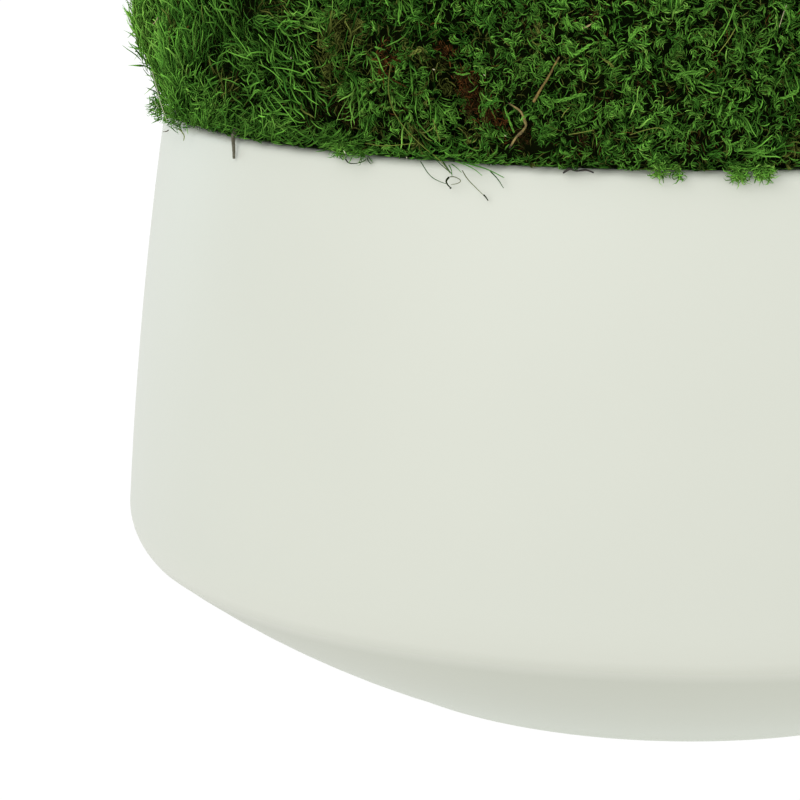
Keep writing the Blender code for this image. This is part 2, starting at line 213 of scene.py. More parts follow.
# The same where they hang over the rim, with the distance from the axis in place of the lift
HANGING = (
    ("strand", 0.62, 0.3, 244.6, 0.5, 157.6, 245.5, -2.6, 157.8, 246.2, -4.1, 157.6, 247.1, -5.0, 157.4,
     247.4, -5.1, 157.4),
    ("strand", 0.6, 0.4, 247.1, 1.3, 158.6, 247.6, -0.5, 158.4, 248.1, -2.6, 157.8),
    ("strand", 0.7, 0.34, 247.9, 0.1, 158.8, 248.1, -1.2, 158.4, 248.1, -3.2, 157.8),
    ("strand", 0.02, 0.62, 247.8, -3.2, 157.8, 247.5, -4.3, 158.0, 247.7, -5.3, 158.2, 248.0, -6.1, 158.0),
    ("strand", 0.44, 0.28, 247.8, -3.2, 157.8, 248.6, -3.0, 158.8, 249.2, -3.8, 159.0, 248.8, -4.7, 158.6,
     248.0, -5.2, 158.0),
    ("blade", 0.02, 0.6, 247.9, -5.8, 158.0, 248.0, -6.2, 158.2, 248.1, -5.9, 158.0),
    ("strand", 0.46, 0.32, 249.2, -1.1, 158.2, 249.7, -3.4, 157.8, 250.7, -6.0, 157.6, 251.4, -7.7, 157.4),
    ("strand", 0.02, 0.5, 251.3, -7.4, 157.4, 251.6, -8.2, 157.4, 251.8, -9.0, 157.4),
    ("strand", 0.74, 0.5, 249.3, 1.1, 158.8, 250.8, 0.3, 159.0, 252.1, -0.8, 158.4, 253.5, -2.7, 157.6),
    ("strand", 0.6, 0.42, 252.1, -0.9, 158.4, 252.8, -3.0, 157.8, 253.4, -5.4, 157.6),
    ("strand", 0.8, 0.4, 248.5, 1.2, 158.6, 249.8, 0.3, 159.0, 250.6, -0.8, 158.6, 251.3, -2.4, 158.0),
    ("strand", 0.72, 0.34, 248.2, 0.4, 158.8, 248.7, -0.6, 158.4, 249.1, -1.9, 157.8),
    ("strand", 0.02, 0.4, 235.8, -0.8, 157.6, 236.4, -1.7, 158.2, 237.1, -1.7, 158.2, 237.8, -1.3, 157.8),
    ("strand", 0.56, 0.42, 206.4, -0.4, 158.8, 207.4, -1.1, 158.6, 207.5, -2.3, 158.0, 206.8, -3.9, 157.6),
    ("strand", 0.12, 0.34, 202.6, -2.1, 158.6, 201.5, -2.9, 158.6, 199.3, -3.7, 158.2),
    ("strand", 0.6, 0.3, 204.5, -0.9, 159.0, 205.1, -1.6, 158.6, 205.6, -2.1, 158.0))

# Tufts that spill over the rim: place, width in millimetres, leaves, tone
TUFTS = (
    (235.2, 2.2, 6.0, 150, 0.88), (237.4, 1.6, 4.0, 60, 0.84), (268.4, 1.2, 3.2, 95, 0.97),
    (270.2, 1.0, 2.4, 45, 0.93), (278.2, 0.9, 4.0, 200, 0.97), (275.9, 0.6, 3.4, 140, 0.93),
    (190.0, 1.4, 12.0, 110, 0.9), (197.0, 1.2, 12.0, 130, 0.9), (183.0, 1.4, 12.0, 60, 0.88),
    (204.0, 1.2, 8.0, 70, 0.88))

# Leaves that lie along the rim: from and to azimuth, count, length in millimetres, tone
FRINGES = (
    (188, 203, 90, 4.4, 0.87), (203, 236, 400, 6.6, 0.82), (236, 258, 170, 3.2, 0.8), (262, 284, 60, 2.8, 0.82))

# Crumbs of bark and dry stalk: place, size in millimetres, tone
CRUMBS = (
    (212.5, 30.2, 1.2, 0.14), (233.0, 29.3, 0.5, 0.16), (230.2, 25.6, 0.6, 0.33), (236.1, 1.3, 1.1, 0.35),
    (246.9, 25.4, 0.8, 0.32), (252.0, 24.6, 0.6, 0.33), (243.4, 1.3, 0.6, 0.34), (253.9, 8.8, 0.6, 0.33))

# Where the light reaches farther down the leaves, and where less far: place, size in
# millimetres, share
LIT = (
    (206, 24, 16, 0.14), (221, 24, 14, -0.4), (228.3, 17.6, 5, 0.4), (213, 9, 6, -0.18), (219, 6, 9, -0.34),
    (229, 5, 9, -0.4), (235.5, 12, 8, -0.28), (248.5, 5, 6, 0.25), (250.5, 39, 9, 0.3), (256, 20, 15, -0.11),
    (262.9, 40, 9, 0.6), (266, 34.5, 6, 0.4), (267, 10, 7, 0.18), (270, 29, 6, -0.28), (275.1, 36, 6, -0.25),
    (276.5, 10, 8, 0.25), (263.2, 0, 4.5, -0.36), (256.4, 0, 4.5, -0.26))

# Lighter and darker parts of the front, partly the moss's own tone, partly painted shade in the hollows and painted
# light on its left edge: place, size in millimetres, shift of tone
TINTS = (
    (191, 24, 27, 0.15), (204, 20, 14, 0.03), (215, 27, 9, -0.11), (219.5, 18, 7, -0.1), (223, 31, 6, -0.08),
    (229, 14, 12, 0.03), (236, 30, 9, 0.03), (263, 39, 9, 0.06), (264, 20, 26, 0.02), (277, 22, 24, 0.035))

# Browned and olive patches: place, size in millimetres, tone
PATCHES = (
    (241.0, 26.2, 2.8, RUST), (242.4, 27.8, 1.2, RUST), (246.6, 29.7, 2.0, RUST), (248.4, 21.8, 2.4, RUST),
    (249.7, 19.0, 3.0, 0.14), (249.5, 15.3, 2.4, 0.12), (251.8, 13.2, 3.0, 0.14), (253.4, 12.0, 1.5, RUST),
    (255.1, 8.2, 2.9, 0.1), (235.1, 10.6, 3.0, 0.085), (232.3, 11.1, 3.0, 0.085), (266.3, 34.4, 1.0, 0.12),
    (262.0, 40.5, 1.3, 0.11), (263.6, 19.3, 1.2, 0.1), (261.1, 7.9, 1.5, 0.1), (271.8, 7.3, 1.0, 0.13),
    (266.5, 23.2, 0.8, 0.1), (236.3, 32.4, 6.0, OLIVE), (231.9, 24.3, 6.5, OLIVE), (233.6, 15.0, 3.5, OLIVE),
    (243.7, 29.0, 2.2, 0.52), (245.0, 25.8, 3.0, OLIVE), (246.4, 20.0, 3.4, OLIVE), (250.4, 7.4, 3.6, OLIVE),
    (254.9, 2.4, 2.4, OLIVE), (243.5, 7.0, 2.4, OLIVE), (281.0, 5.6, 4.0, OLIVE), (257.0, 36.0, 3.0, OLIVE),
    (218.0, 14.0, 3.5, 0.44))

# Lie of the combed blades: place, size in millimetres, angle in degrees, 0 to the viewer's
# right along the rim and 90 up
COMBS = (
    (190, 34, 14, 108), (193, 14, 12, 112), (203, 30, 11, 98), (203, 12, 10, 104), (212, 28, 6, 88),
    (217, 36, 7, 130), (219, 22, 6, 55), (221, 30, 6, 140), (224, 22, 5, 165), (216, 10, 7, 35), (228, 34, 6, -20),
    (229, 24, 7, -40), (229, 14, 7, -45), (223, 6, 6, 8), (212, 4, 6, 20), (230, 4, 6, -25), (236, 34, 6, 60),
    (240, 18, 7, -60), (247, 8, 6, -35), (206, 2, 6, 30))

# Camera of the photograph
LENS = 158.6
CAMERA_PLACE = (0.0, -1.06584, 0.29921)
CAMERA_DOWN = 0.1990
CAMERA_LEFT = 0.0788

# Lamps: place, size, power, colour
WHITE = (1.0, 1.0, 1.0)
LAMPS = {"key": ((-1.12, -1.74, 1.3), 1.6, 18.0, WHITE), "fill": ((1.6, -1.3, 0.7), 1.8, 5.6, WHITE),
         "top": ((0.4, 0.3, 2.4), 1.8, 5.0, WHITE), "edge": ((-2.0, 1.35, 0.6), 1.2, 3.6, (0.70, 1.0, 1.16))}
LAMPS_AIM = Vector((0, 0, 0.2))
SKY, SKY_STRENGTH = (0.97, 1.0, 1.03, 1.0), 0.668
FLOOR_DROP = 0.0005


# Materials

class Look:
    """A material as it is made: its Principled shader and the nodes that feed it."""

    def __init__(self, name, colour, roughness):
        self.mat = bpy.data.materials.new(name)
        self.mat.use_nodes = True
        self.mat.diffuse_color = (*colour, 1.0)
        self.nodes, self.links = self.mat.node_tree.nodes, self.mat.node_tree.links
        self.inputs = self.nodes["Principled BSDF"].inputs
        self.inputs["Base Color"].default_value = (*colour, 1.0)
        self.inputs["Roughness"].default_value = roughness

    def node(self, kind, **values):
        """New node with values set on its inputs."""
        node = self.nodes.new("ShaderNode" + kind)
        for name, value in values.items():
            node.inputs[name].default_value = value
        return node

    def colour(self, output):
        self.links.new(output, self.inputs["Base Color"])

    def parts(self, output):
        """The coordinates of a vector."""
        node = self.node("SeparateXYZ")
        self.links.new(output, node.inputs["Vector"])
        return node.outputs

    def ramp(self, value, stops):
        """Colours over a value, from a list of places and colours."""
        node = self.node("ValToRGB")
        band = node.color_ramp
        while len(band.elements) < len(stops):
            band.elements.new(0.5)
        for element, (place, colour) in zip(band.elements, stops):
            element.position = place
            element.color = (*colour, 1.0)
        self.links.new(value, node.inputs["Fac"])
        return node.outputs["Color"]

    def noise(self, scale, detail, rough=0.5):
        """Noise on object coordinates."""
        node = self.node("TexNoise", Scale=scale, Detail=detail, Roughness=rough)
        self.links.new(self.node("TexCoord").outputs["Object"], node.inputs["Vector"])
        return node.outputs["Fac"]

    def multiplied(self, first, second):
        """Product of two colours."""
        node = self.node("Mix")
        node.data_type = "RGBA"
        node.blend_type = "MULTIPLY"
        node.inputs["Factor"].default_value = 1.0
        self.links.new(first, node.inputs["A"])
        self.links.new(second, node.inputs["B"])
        return node.outputs["Result"]

    def bump(self, height, strength, distance):
        node = self.node("Bump", Strength=strength, Distance=distance)
        self.links.new(height, node.inputs["Height"])
        self.links.new(node.outputs["Normal"], self.inputs["Normal"])


def ceramic_material():
    """Warm white satin ceramic: faintly cloudy, its glaze a little uneven, with painted shade by height: a little
    darker down the wall, darker under the crease with a crisp step there, and lighter again towards the foot.
    """
    look = Look("white_satin_ceramic", (0.70, 0.72, 0.64), 0.42)
    cloud = look.ramp(look.noise(9.0, 4.0), ((0.3, (0.660, 0.674, 0.587)), (0.7, (0.677, 0.691, 0.601))))
    high = look.parts(look.node("TexCoord").outputs["Object"])["Z"]
    # Painted shade by height: a little darker down the wall, much darker under the crease with a crisp step at it,
    # lighter again towards the foot
    painted_shade_by_height = look.ramp(high, (
        (0.0, (0.848, 0.888, 0.865)), (10.0 * MM, (0.815, 0.850, 0.829)), (29.0 * MM, (0.775, 0.792, 0.763)),
        (CREASE_HEIGHT - 3.0 * MM, (0.765, 0.778, 0.747)), (CREASE_HEIGHT - 2.2 * MM, (0.962,) * 3),
        (120.0 * MM, (0.980,) * 3), (BOWL_HEIGHT, (1.0,) * 3)))
    look.colour(look.multiplied(cloud, painted_shade_by_height))
    look.bump(look.noise(420.0, 2.0), 0.06, 0.0006)
    return look.mat


def moss_material(name):
    """Moss leaves: U is the tone of a leaf, V runs from painted shade at its root to a painted highlight at its tip.
    """
    look = Look(name, (0.08, 0.19, 0.03), 0.62)
    place = look.node("UVMap")
    place.uv_map = "OFBake"
    parts = look.parts(place.outputs["UV"])
    tone = look.ramp(parts["X"], (
        (0.00, (0.012, 0.026, 0.005)), (0.06, (0.034, 0.048, 0.011)), (0.12, (0.085, 0.046, 0.018)),
        (0.16, (0.190, 0.072, 0.019)), (0.21, (0.320, 0.125, 0.036)), (0.27, (0.430, 0.290, 0.120)),
        (0.35, (0.640, 0.660, 0.480)), (0.40, (0.056, 0.070, 0.014)), (0.47, (0.140, 0.170, 0.032)),
        (0.55, (0.280, 0.330, 0.070)), (0.58, (0.022, 0.080, 0.010)), (0.66, (0.044, 0.170, 0.019)),
        (0.72, (0.080, 0.255, 0.027)), (0.77, (0.096, 0.325, 0.042)), (0.82, (0.156, 0.413, 0.053)),
        (0.87, (0.194, 0.498, 0.066)), (0.92, (0.222, 0.612, 0.072)), (0.96, (0.270, 0.700, 0.092)),
        (1.00, (0.400, 0.780, 0.130))))
    # Painted shade darkens each leaf towards its root, and a painted highlight lifts its tip above its tone
    painted_root_shade_and_tip_light = look.ramp(parts["Y"], (
        (0.0, (0.16,) * 3), (0.3, (0.42,) * 3), (0.62, (0.86,) * 3), (1.0, (1.26, 1.26, 1.10))))
    look.colour(look.multiplied(tone, painted_root_shade_and_tip_light))
    look.inputs["Specular IOR Level"].default_value = 0.0
    return look.mat


def bark_material(name, dark, light, scale=900.0):
    """Dry bark, dark and light in patches and fine streaks."""
    look = Look(name, light, 0.8)
    grain = look.noise(scale, 4.0, 0.65)
    look.colour(look.ramp(grain, ((0.36, dark), (0.62, light))))
    look.bump(grain, 0.5, 0.0001)
    return look.mat


def foam_material():
    """Dry foam: dull green with fine open cells."""
    look = Look("green_dry_foam", (0.10, 0.16, 0.07), 0.95)
    look.colour(look.ramp(look.noise(1500.0, 2.0), ((0.35, (0.05, 0.08, 0.03)), (0.65, (0.12, 0.19, 0.08)))))
    return look.mat


# Meshes and pieces

def mesh_from(bm, name):
    """Mesh of a finished bmesh."""
    mesh = bpy.data.meshes.new(name)
    bm.to_mesh(mesh)
    bm.free()
    return mesh


def tables_from(bm):
    """Points and triangles of a finished bmesh, as two tables."""
    bm.verts.index_update()
    tables = np.array([v.co for v in bm.verts]), np.array([[v.index for v in f.verts] for f in bm.faces])
    bm.free()
    return tables


def upright_edges(bm):
    """Edges along the length of a cylinder or prism."""
    return [e for e in bm.edges if abs(e.verts[0].co.z - e.verts[1].co.z) > 0.5]


def placed(name, data):
    """New object in the scene."""
    obj = bpy.data.objects.new(name, data)
    bpy.context.scene.collection.objects.link(obj)
    return obj


def piece(name, mesh, mat, replaced):
    """Object at the origin that rides with the part and stands for CAD nodes."""
    mesh.materials.append(mat)
    obj = placed(name, mesh)
    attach(obj, "root")
    if replaced:
        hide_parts(*replaced)


# Bowl

def fillet(corner, before, after, radius, steps):
    """Points of the arc that rounds a corner of an outline."""
    c = Vector(corner)
    back, on = (Vector(before) - c).normalized(), (Vector(after) - c).normalized()
    half = back.angle(on) / 2
    centre = c + (back + on).normalized() * (radius / math.sin(half))
    start = c + back * (radius / math.tan(half)) - centre
    end = c + on * (radius / math.tan(half)) - centre
    turn = start.angle(end)
    return [centre + (start * math.sin((1 - i / steps) * turn) + end * math.sin(i / steps * turn)) / math.sin(turn)
            for i in range(steps + 1)]


def bowed(start, end, sag, steps):
    """Points between two ends of a line, bowed to its right by a sag."""
    s, e = Vector(start), Vector(end)
    along = (e - s).normalized()
    side = Vector((along.y, -along.x))
    return [s.lerp(e, i / steps) + side * (4 * sag * (i / steps) * (1 - i / steps)) for i in range(1, steps)]


def bowl_outline():
    """The bowl's outline, from under the middle of its base to the middle of its floor."""
    base, crease, rim = (BASE_RADIUS, 0.0), (CREASE_RADIUS, CREASE_HEIGHT), (RIM_RADIUS, BOWL_HEIGHT)
    lip = WALL / 2
    points = [Vector((0.0, FOOT_RECESS)), Vector((FOOT_INNER - 2 * FOOT_RECESS, FOOT_RECESS))]
    points += fillet((FOOT_INNER - 0.5 * FOOT_RECESS, FOOT_RECESS), (0.0, FOOT_RECESS), (FOOT_INNER, 0.0), 1.2 * MM, 3)
    points.append(Vector((FOOT_INNER + 0.4 * MM, 0.0)))
    foot = fillet(base, (0.0, 0.0), crease, BASE_FILLET, 10)
    knee = fillet(crease, base, rim, CREASE_FILLET, 18)[5:]
    painted_shade_by_height = bowed(foot[-1], knee[0], BELLY, 8)
    edge = [knee[0].lerp(painted_shade_by_height[-1], 0.04), knee[0], knee[0].lerp(knee[1], 0.15)]
    points += foot + painted_shade_by_height + edge + knee[1:]
    points += bowed(knee[-1], (RIM_RADIUS, BOWL_HEIGHT - lip), WALL_BOW, 12)
    for i in range(LIP_STEPS + 1):
        a = math.radians(180 / LIP_STEPS * i)
        points.append(Vector((RIM_RADIUS - lip + lip * math.cos(a), BOWL_HEIGHT - lip + lip * math.sin(a))))
    slope = Vector((CREASE_RADIUS - BASE_RADIUS, CREASE_HEIGHT)).normalized()
    start = Vector((BASE_RADIUS - WALL * slope.y, WALL * slope.x))
    inner_base = start + slope * ((FLOOR_TOP - start.y) / slope.y)
    inner_crease = (CREASE_RADIUS - WALL * 1.06, CREASE_HEIGHT + 3.3 * MM)
    points += fillet(inner_crease, (RIM_RADIUS - WALL, BOWL_HEIGHT), inner_base, CREASE_FILLET - WALL, 6)
    return points + [inner_base, Vector((0.0, FLOOR_TOP))]


def make_bowl():
    """Finely turned bowl, smooth all over."""
    bm = bmesh.new()
    verts = [bm.verts.new((p[0], 0.0, p[1])) for p in bowl_outline()]
    edges = [bm.edges.new(pair) for pair in zip(verts, verts[1:])]
    bmesh.ops.spin(bm, geom=verts + edges, cent=(0, 0, 0), axis=(0, 0, 1), dvec=(0, 0, 0),
                   angle=2 * math.pi, steps=BOWL_SIDES, use_merge=True)
    bmesh.ops.remove_doubles(bm, verts=bm.verts, dist=0.00001)
    bmesh.ops.recalc_face_normals(bm, faces=bm.faces)
    for face in bm.faces:
        face.smooth = True
    piece("ceramic_bowl", mesh_from(bm, "ceramic_bowl"), ceramic_material(), ["bowl"])


# Twigs

def make_twig(name, node, path, thick, thin, knots, bark):
    """Dry twig along its path, with small knots, a rough bark and broken ends."""
    bm = bmesh.new()
    bmesh.ops.create_cone(bm, cap_ends=True, segments=9, radius1=1.0, radius2=1.0, depth=1.0)
    bmesh.ops.subdivide_edges(bm, edges=upright_edges(bm), cuts=38)
    places = smooth_path([on_dome(*place) for place in path], TWIG_STEPS)
    tangents = unit(np.gradient(places, axis=0))
    normals = dome_normal(places)
    for v in bm.verts:
        s = v.co.z + 0.5
        i = int(s * (TWIG_STEPS - 1))
        ahead, out = Vector(tangents[i]), Vector(normals[i])
        side = ahead.cross(out).normalized()
        out = side.cross(ahead)
        knot = 1 + sum(swell * math.exp(-((s - k) * 13) ** 2) for k, swell in knots)
        rough = 1 + 0.14 * noise.noise(Vector((v.co.x * 1.6, v.co.y * 1.6, s * 14)))
        radius = (thick + (thin - thick) * s) * 0.5 * MM * knot * rough
        v.co = Vector(places[i]) + side * (v.co.x * radius) + out * (v.co.y * radius)
    bmesh.ops.recalc_face_normals(bm, faces=bm.faces)
    for face in bm.faces:
        face.smooth = len(face.verts) == 4
    piece(name, mesh_from(bm, name), bark_material(name + "_bark", *bark), [node] if node else [])


# Tables of directions

def unit(v):
    """Rows of a table of vectors at unit length."""
    return v / np.maximum(np.linalg.norm(v, axis=-1, keepdims=True), 1e-12)


def dot(a, b):
    """Product of each row of one table with the same row of another."""
    return np.einsum("ij,ij->i", a, b)


def turned(first, second, angle):
    """Directions turned by an angle from the first ones towards the second ones."""
    return first * np.cos(angle)[:, None] + second * np.sin(angle)[:, None]


def by_turns(count):
    """1 and -1 in turn."""
    return np.where(np.arange(count) % 2 == 0, 1.0, -1.0)


def way_round(azimuth):
    """Outward and sideways directions at azimuths in radians."""
    cos, sin, level = np.cos(azimuth), np.sin(azimuth), np.zeros(len(azimuth))
    return np.stack([cos, sin, level], axis=1), np.stack([-sin, cos, level], axis=1)


def smooth_path(points, count):
    """Points on a smooth line through a few points."""
    points = np.array(points)
    p = np.vstack([2 * points[0] - points[1], points, 2 * points[-1] - points[-2]])
    t = np.linspace(0, len(points) - 1.0001, count)
    i = t.astype(int)
    f = (t - i)[:, None]
    a, b, c, d = p[i], p[i + 1], p[i + 2], p[i + 3]
    return 0.5 * (2 * b + (c - a) * f + (2 * a - 5 * b + 4 * c - d) * f ** 2 + (3 * b - a - 3 * c + d) * f ** 3)


# The dome that the moss grows on

def polar(azimuth, angle):
    """Unit direction at an azimuth and an angle down from the top, both in degrees."""
    a, t = math.radians(azimuth), math.radians(angle)
    return (math.sin(t) * math.cos(a), math.sin(t) * math.sin(a), math.cos(t))


MIDDLES = np.array([polar(azimuth, angle) for azimuth, angle, _ in CLUMPS.values()])
COMBED = np.array([share for *_, share in CLUMPS.values()])


def dome(d, size):
    """Points of a dome in unit directions."""
    level = np.hypot(d[:, 0], d[:, 1])
    depth = np.where(d[:, 2] >= 0, size[1], size[2])
    total = (level / size[0]) ** SQUARENESS + (np.abs(d[:, 2]) / depth) ** SQUARENESS
    return CENTRE + d * (total ** (-1 / SQUARENESS))[:, None]


def dome_normal(p):
    """Outward directions of the leafy dome at points on it."""
    q = p - CENTRE
    level = np.hypot(q[:, 0], q[:, 1])
    depth = np.where(q[:, 2] >= 0, LEAFY_TOP[1], LEAFY_TOP[2])
    across = level ** (SQUARENESS - 2) / LEAFY_TOP[0] ** SQUARENESS
    rise = np.sign(q[:, 2]) * np.abs(q[:, 2]) ** (SQUARENESS - 1) / depth ** SQUARENESS
    return unit(np.stack([q[:, 0] * across, q[:, 1] * across, rise], axis=1))


def on_dome(azimuth, height, lift):
    """Point over the leafy dome at a place on the front."""
    rise = height * MM + BOWL_HEIGHT - DOME_CENTRE
    depth = LEAFY_TOP[1] if rise > 0 else LEAFY_TOP[2]
    radius = LEAFY_TOP[0] * (1 - (abs(rise) / depth) ** SQUARENESS) ** (1 / SQUARENESS) + lift * MM
    a = math.radians(azimuth)
    return (radius * math.cos(a), radius * math.sin(a), BOWL_HEIGHT + height * MM)


def spot_of(p):
    """Azimuth in degrees and height above the rim in millimetres."""
    return np.degrees(np.arctan2(p[:, 1], p[:, 0])) % 360, (p[:, 2] - BOWL_HEIGHT) / MM


def hill(spot, azimuth, height, wide, tall=0):
    """1 at a place, falling off over a size in millimetres, or over a width in degrees and a
    height in millimetres."""
    across = (spot[0] - azimuth) * (1 if tall else MM_PER_DEGREE)
    return np.exp(-(across / wide) ** 2 - ((spot[1] - height) / (tall or wide)) ** 2)


def low_noise(p, scale, seed):
    """Smooth noise, one value per point, about -1 to 1."""
    shift = Vector((seed * 3.1, seed * 1.7, seed * 5.3))
    return np.array([noise.noise(Vector(q) * scale + shift) for q in p]) * 1.6


def clump_of(d):
    """Number of the clump that each direction falls in, and the angle to its nearest seam."""
    near = np.argmax(d @ MIDDLES.T, axis=1)
    room = np.full(len(d), 9.0)
    for j in range(len(MIDDLES)):
        wall = MIDDLES[near] - MIDDLES[j]
        size = np.linalg.norm(wall, axis=1)
        size[near == j] = 1.0
        room = np.where(near == j, room, np.minimum(room, dot(d, wall) / size))
    return near, room


def leafy_points(d, room):
    """Points of the leafy surface: low pillows that sink to their seams."""
    angle = np.arccos(np.clip(d[:, 2], -1, 1))
    near = np.clip(np.minimum(room, RIM_ANGLE - angle + 0.1) / SEAM_WIDTH, 0, 1)
    sink = SEAM_DEPTH * (1 - near) ** 2.2
    swell = np.array([noise.noise(Vector(p) * 2.6 + Vector((4.0, 1.0, 7.0))) * 3.2
                      + noise.noise(Vector(p) * 6.5) * 1.5 for p in d]) * MM
    swell *= np.clip((RIM_ANGLE - angle) * 4, 0.25, 1)
    base = dome(d, LEAFY_TOP)
    for azimuth, height, wide, tall, out in SWELLS:
        swell += out * MM * hill(spot_of(base), azimuth, height, wide, tall)
    return base + d * (swell - sink)[:, None]


def coarseness(p):
    """1 where the front is seen close, a little less in its fine middle, and up to 1.9 over the
    back and the top."""
    azimuth, high = spot_of(p)
    aside = np.abs(azimuth - FRONT_MIDDLE) - FRONT_HALF
    past = np.clip(np.maximum(aside * MM_PER_DEGREE, high - FRONT_TOP) / FRONT_EDGE, 0, 1)
    return 1 + 0.9 * past * past * (3 - 2 * past) - 0.12 * hill((azimuth, high), 246, 15, 9, 22)


def fine(size):
    """Where leaves are full blades, close to the viewer. The rest are darts."""
    return size < FINE_BELOW


def reach_of_light(p):
    """How far down the leaves the light reaches."""
    spot, reach = spot_of(p), np.ones(len(p))
    for *place, share in LIT:
        reach += share * hill(spot, *place)
    return reach


def fullness(p):
    """Small full clumps and the gaps between them, about -1 to 1."""
    d = unit(p - CENTRE)
    return 0.9 * low_noise(d, 15.0, 12) + 0.55 * low_noise(d, 33.0, 13)


def sizes_away(spot, azimuth, height, size):
    """Distance from a patch, in its sizes."""
    return np.hypot((spot[0] - azimuth) * MM_PER_DEGREE, spot[1] - height) / size


def worn(p):
    """1 in the browned patches, where the green leaves are gone."""
    spot, bare = spot_of(p), np.zeros(len(p))
    for *place, colour in PATCHES:
        if colour < BROWNED:
            bare = np.maximum(bare, np.clip(1.6 - sizes_away(spot, *place), 0, 1))
    return bare


def moss_tones(p, rng, spread=0.05, shift=0.0):
    """Tone of each spot: greens with bright and dull patches, painted shade in the gaps between clumps and in the
    hollows, and the olive and browned ones.
    """
    # Fuller clumps get a lighter tone and the gaps between them a darker one, as painted shade
    tone = 0.79 + 0.07 * low_noise(p, 30.0, 1) + 0.05 * np.clip(fullness(p), -1, 1)
    tone += rng.normal(0, spread, len(p))
    spot = spot_of(p)
    # The tints add painted shade in the hollows and painted light on the left edge, beside the moss's own tone
    for *place, change in TINTS:
        tone += change * hill(spot, *place)
    tone = np.clip(tone, 0.62, 0.985)
    dull = low_noise(p, 17.0, 5) + 0.5 * low_noise(p, 60.0, 6) + rng.normal(0, 0.25, len(p))
    dull -= 1.2 * hill(spot, 225, 15, 5, 12)
    return patch_tones(p, np.where(dull > 1.0, rng.uniform(0.43, 0.55, len(p)), tone) + shift, rng)


def patch_tones(p, tone, rng):
    """The same tones, but with olive and browned patches."""
    spot = spot_of(p)
    for *place, colour in PATCHES:
        caught = sizes_away(spot, *place) + rng.normal(0, 0.3, len(p)) < 1.0
        tone = np.where(caught, colour + rng.uniform(-0.03, 0.04, len(p)), tone)
    return tone


def comb_angle(p, rng):
    """Angle of the combed blades in the surface, drawn together by the lies near each spot."""
    spot = spot_of(p)
    free = 2.4 * low_noise(p, 16.0, 9) + 1.4 * low_noise(p, 48.0, 10)
    x, y = 0.05 * np.cos(free), 0.05 * np.sin(free)
    for *place, angle in COMBS:
        near = hill(spot, *place)
        x, y = x + near * math.cos(math.radians(angle)), y + near * math.sin(math.radians(angle))
    return np.arctan2(y, x) + 0.5 * low_noise(p, 120.0, 14) + rng.normal(0, 0.24, len(p))


# Leaves

def leaf_shape(widths, keel, wave=0.0):
    """Closed three-sided blade along Y: a prism cut across, its ends drawn to points, and
    waving from side to side."""
    bm = bmesh.new()
    bmesh.ops.create_cone(bm, cap_ends=True, segments=3, radius1=0.5, radius2=0.5, depth=1.0)
    ends = [f for f in bm.faces if len(f.verts) == 3]
    last = len(widths) - 1
    if last > 1:
        bmesh.ops.subdivide_edges(bm, edges=upright_edges(bm), cuts=last - 1)
    tips = bmesh.ops.poke(bm, faces=ends)["verts"]
    bmesh.ops.triangulate(bm, faces=bm.faces)
    bmesh.ops.recalc_face_normals(bm, faces=bm.faces)
    for v in bm.verts:
        if v in tips:
            v.co = (0, 0, 0) if v.co.z < 0 else (wave * math.sin(5.6), 1, 0)
        else:
            y, half = widths[round((v.co.z + 0.5) * last)]
            v.co = (half * v.co.x / 0.5 + wave * math.sin(5.6 * y), y, keel * half * v.co.y / 0.5)
    return tables_from(bm)


def dart_shape(keel):
    """Closed dart of six faces along Y: a cone with its base drawn to a point."""
    bm = bmesh.new()
    bmesh.ops.create_cone(bm, cap_ends=True, segments=3, radius1=0.5, radius2=0.0, depth=1.0)
    base = [f for f in bm.faces if all(v.co.z < 0 for v in f.verts)]
    root = bmesh.ops.poke(bm, faces=base)["verts"]
    bmesh.ops.recalc_face_normals(bm, faces=bm.faces)
    for v in bm.verts:
        if v in root:
            v.co = (0, 0, 0)
        else:
            v.co = (0, 1, 0) if v.co.z > 0 else (v.co.x, 0.42, keel * v.co.y)
    return tables_from(bm)


DART = dart_shape(0.4)
BLADE = leaf_shape(((0.24, 0.5), (0.64, 0.36)), 0.4)
HOOK = leaf_shape(((0.26, 0.5), (0.66, 0.40)), 0.5)
ARC = leaf_shape(((0.16, 0.42), (0.45, 0.5), (0.76, 0.32)), 0.4)
WAVES = [leaf_shape(((0.12, 0.40), (0.32, 0.5), (0.52, 0.46), (0.72, 0.36), (0.9, 0.2)), 0.4, wave)
         for wave in (-0.8, 0.8)]
STRAND = leaf_shape([((i + 0.4) / (STRAND_STEPS - 0.2), 0.5) for i in range(STRAND_STEPS)], 1.0)


def off_bowl(p, hang):
    """Keeps points of leaves on top of the rim, or outside the wall where they hang over it."""
    level = np.hypot(p[..., 0], p[..., 1])
    drop = np.clip(BOWL_HEIGHT - p[..., 2], 0, 1)
    wall = RIM_RADIUS + 0.35 * MM + drop * (CREASE_RADIUS - RIM_RADIUS) / (BOWL_HEIGHT - CREASE_HEIGHT) * 1.15
    below = p[..., 2] < ON_RIM
    out = p.copy()
    hangs = below & hang & (level > RIM_RADIUS - 1.2 * MM)
    scale = np.where(hangs, np.maximum(wall / np.maximum(level, 1e-6), 1), 1)
    out[..., :2] *= scale[..., None]
    rest = ON_RIM + (np.arange(p.shape[-2]) % 5 * 0.04 * MM)
    out[..., 2] = np.where(below & ~hangs, rest, p[..., 2])
    return out


